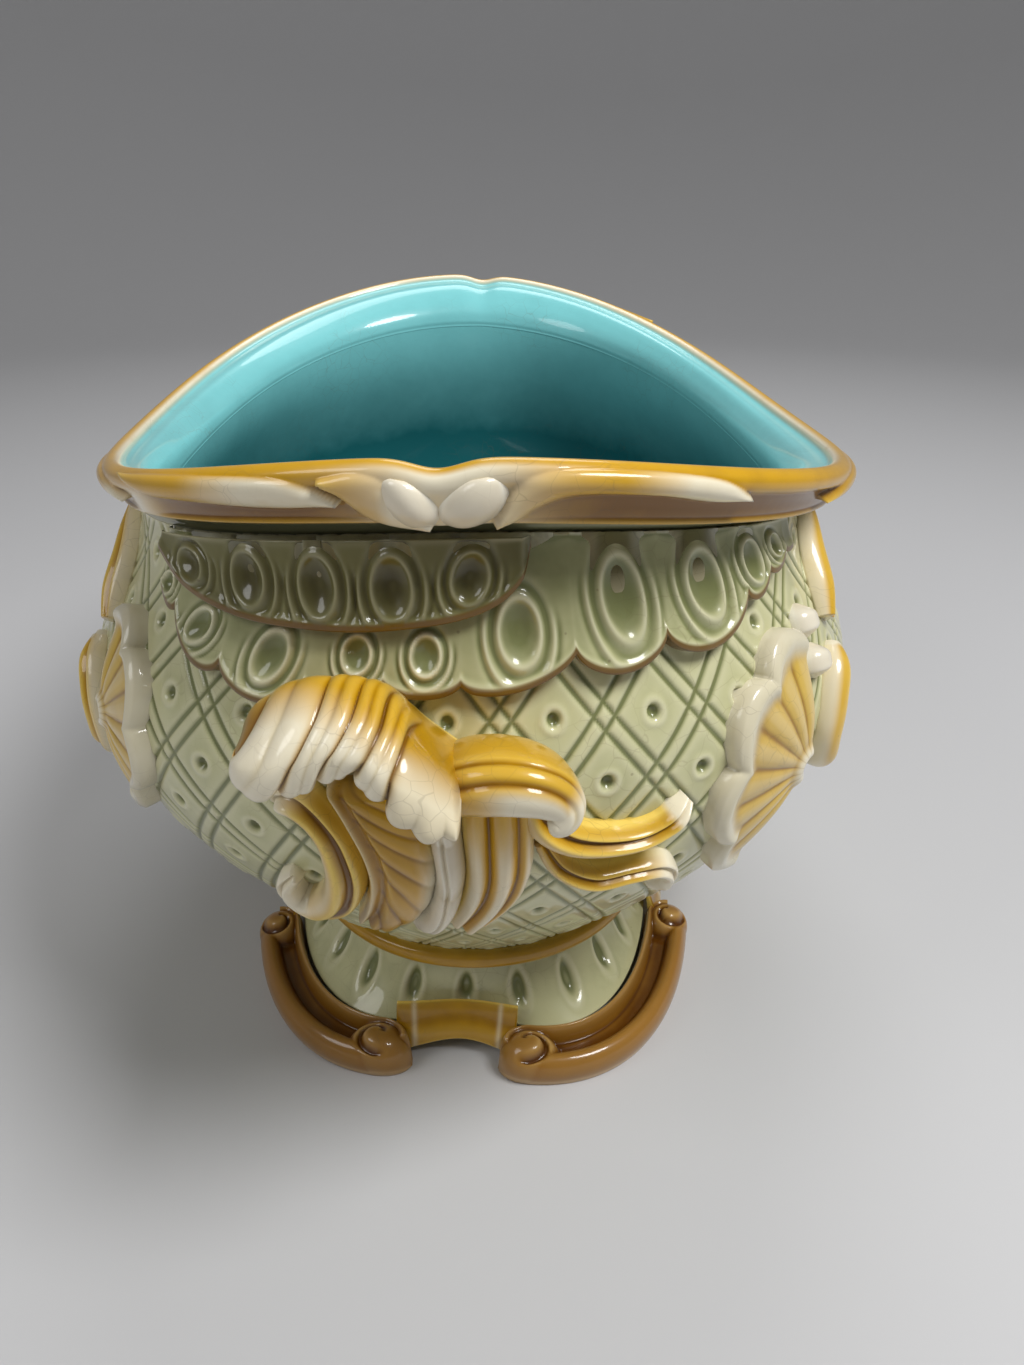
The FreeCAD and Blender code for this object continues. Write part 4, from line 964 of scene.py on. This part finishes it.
def fan(middle, level, radius, first, last):
    """Fan shell on the bowl: flutes that open from a bead to a rolled, scalloped rim.

    Gives its points, its cream, the olive wash of its rim and its shade.
    """
    angle = math.radians(middle)
    along, up = bowl_slopes(np.array(angle), np.array(level))
    share = np.linspace(0, 1, 170)[:, None]
    opening = np.radians(first + (last - first) * share)[..., None]
    reach = np.concatenate([np.linspace(0.04, 1.0, 60), [1.02, 1.03, 1.03]])[None, :]
    lobe = np.abs(np.sin(pi * SHELL_LOBES * share)) ** 0.7
    length = radius * reach * (1 - 0.12 * (1 - lobe) * ease(reach, 0.4, 0.9))
    heading = unit(along) * np.cos(opening) + unit(up) * np.sin(opening)
    step_angle, step_share = bowl_steps(heading, along, up)
    flute = np.abs(np.sin(pi * SHELL_FLUTES * share))
    fluted = ease(reach, 0.12, 0.4) * fade(reach, 0.72, 0.84)
    height = SHELL_LIFT * ease(reach, 0.0, 0.2) + SHELL_RIM * hump(reach, 0.91, 0.08)
    height = height + SHELL_FLUTE * (flute - 0.6) * fluted
    height = height + SHELL_BEAD * fade(reach, 0.08, 0.2) - SHELL_EDGE * ease(reach, 0.98, 1.03)
    height = (height + SPRIG_SINK) * rounded_ends(share, 0.03, 0.03) - SPRIG_SINK
    points = on_bowl(angle + step_angle * length, level + step_share * length, height)
    cream = np.maximum(ease(reach, 0.76, 0.90), fade(reach, 0.10, 0.2)) + 0.12 * ease(flute, 0.7, 0.95)
    shade = 0.6 * fade(flute, 0.0, 0.5) * fade(reach, 0.7, 0.84)
    return points, cream, 0.25 * ease(reach, 0.74, 0.88), shade


def pearl_section(s, q):
    return dome(q) + 0 * s


def palmette_ribs(q):
    return np.abs(np.cos(pi * 2.5 * q))


def palmette_section(s, q):
    return dome(q) ** 0.5 * (0.75 + 0.3 * palmette_ribs(q))


for node, rows in (("right_near_s_scroll", S_SCROLL_ROWS),
                   ("left_near_s_scroll", other_side(S_SCROLL_ROWS, SIDE_TURN)),
                   ("right_near_c_scroll", C_SCROLL_ROWS),
                   ("left_near_c_scroll", other_side(C_SCROLL_ROWS, 2 * SIDE_TURN))):
    moulding, s, q = strip(rows, MOULDING_LIFT, 120, 31, grooved)
    add_piece(node, moulding, ochre_glaze,
              cream=0.75 * ease(np.abs(q), 0.55, 0.9) + 1 - ease(s, 0.02, 0.1))
for level, step in (("upper", 0.0), ("lower", PEARL_STEP)):
    rows = np.array(PEARL_ROWS) - np.array([0.0, step, 0.0, 0.0])
    pearl, s, q = strip(rows, PEARL_LIFT, 40, 31, pearl_section)
    add_piece("right_near_%s_pearl" % level, pearl, cream_glaze)
for node, shape in (("right_near_shell", RIGHT_SHELL), ("left_near_shell", LEFT_SHELL)):
    shell, shell_cream, shell_wash, shell_shade = fan(*shape)
    add_piece(node, shell, shell_glaze, cream=shell_cream, wash=shell_wash, shade=shell_shade)
palmette, s, q = strip(PALMETTE_ROWS, PALMETTE_LIFT, 110, 61, palmette_section)
ribs = palmette_ribs(q)
add_piece("right_palmette", palmette, shell_glaze,
          cream=ease(ribs, 0.5, 0.95) + ease(np.abs(q), 0.8, 0.95), shade=0.5 * fade(ribs, 0, 0.4))

# Stage
# A plain pale paper floor bends up all round into a wall, as one turned sheet, under soft studio light.
# The camera looks at the near end from above the rim, as the photograph does; lengths here are metres.
FLOOR_GREY, FLOOR_ROUGHNESS = (0.52, 0.52, 0.53), 0.6
FLAT_START, FLAT_RADIUS, BEND, WALL_HEIGHT = 0.6, 1.3, 0.9, 1.8
CAMERA_PLACE = (0.3247, -0.00222, 0.2435)
CAMERA_RIGHT, CAMERA_UP = (0.04608, 0.99894, 0.00216), (-0.45590, 0.01911, 0.88983)
CAMERA_BACK = (0.88884, -0.04199, 0.45629)
LENS, SENSOR = 27.06, 36.0
SKY, SKY_STRENGTH = (0.75, 0.745, 0.73), 0.21
# Lights: name, place, size, power; all aim at the middle of the planter
AIM = (0.0, 0.0, 0.1)
LIGHTS = (("key", (0.45, 0.55, 1.10), 0.5, 14.0), ("fill", (0.50, -0.85, 0.90), 0.6, 3.5),
          ("back", (-0.7, 0.1, 1.2), 0.7, 4.5))

profile = [(FLAT_START, 0.0), (FLAT_RADIUS, 0.0)]
for bend in np.radians(range(6, 91, 6)):
    profile.append((FLAT_RADIUS + math.sin(bend) * BEND, BEND - math.cos(bend) * BEND))
profile.append((FLAT_RADIUS + BEND, WALL_HEIGHT))
rounds = [(math.cos(angle), math.sin(angle)) for angle in np.radians(range(0, 360, 5))]
cove_points = [(out * x, out * y, height) for out, height in profile for x, y in rounds] + [(0.0, 0.0, 0.0)]
floor_mesh = bpy.data.meshes.new("floor")
# The last faces would close the cove on top
floor_mesh.from_pydata(cove_points, [], faces_of(len(profile), len(rounds), False)[:-len(rounds)])
floor_mesh.shade_smooth()
floor_material = bpy.data.materials.new("floor_paper")
floor_material.use_nodes = True
floor_surface = floor_material.node_tree.nodes["Principled BSDF"]
floor_surface.inputs["Base Color"].default_value = FLOOR_GREY + (1.0,)
floor_surface.inputs["Roughness"].default_value = FLOOR_ROUGHNESS
floor_mesh.materials.append(floor_material)
floor = add_object("floor", floor_mesh)

world = bpy.data.worlds.new("studio")
world.use_nodes = True
sky = world.node_tree.nodes["Background"].inputs
sky["Color"].default_value = SKY + (1.0,)
sky["Strength"].default_value = SKY_STRENGTH
bpy.context.scene.world = world
for name, place, size, power in LIGHTS:
    lamp = bpy.data.lights.new(name, "AREA")
    lamp.shape, lamp.size, lamp.energy = "DISK", size, power
    light = add_object(name, lamp)
    aim = Vector(AIM) - Vector(place)
    light.matrix_world = Matrix.Translation(place) @ aim.to_track_quat("-Z", "Y").to_matrix().to_4x4()

camera_data = bpy.data.cameras.new("camera")
camera_data.lens, camera_data.sensor_width = LENS, SENSOR
camera_data.clip_start = 0.01
camera = add_object("camera", camera_data)
axes = Matrix((CAMERA_RIGHT, CAMERA_UP, CAMERA_BACK)).transposed().to_4x4()
camera.matrix_world = Matrix.Translation(CAMERA_PLACE) @ axes
bpy.context.scene.camera = camera
bpy.context.scene.view_settings.view_transform = "Standard"
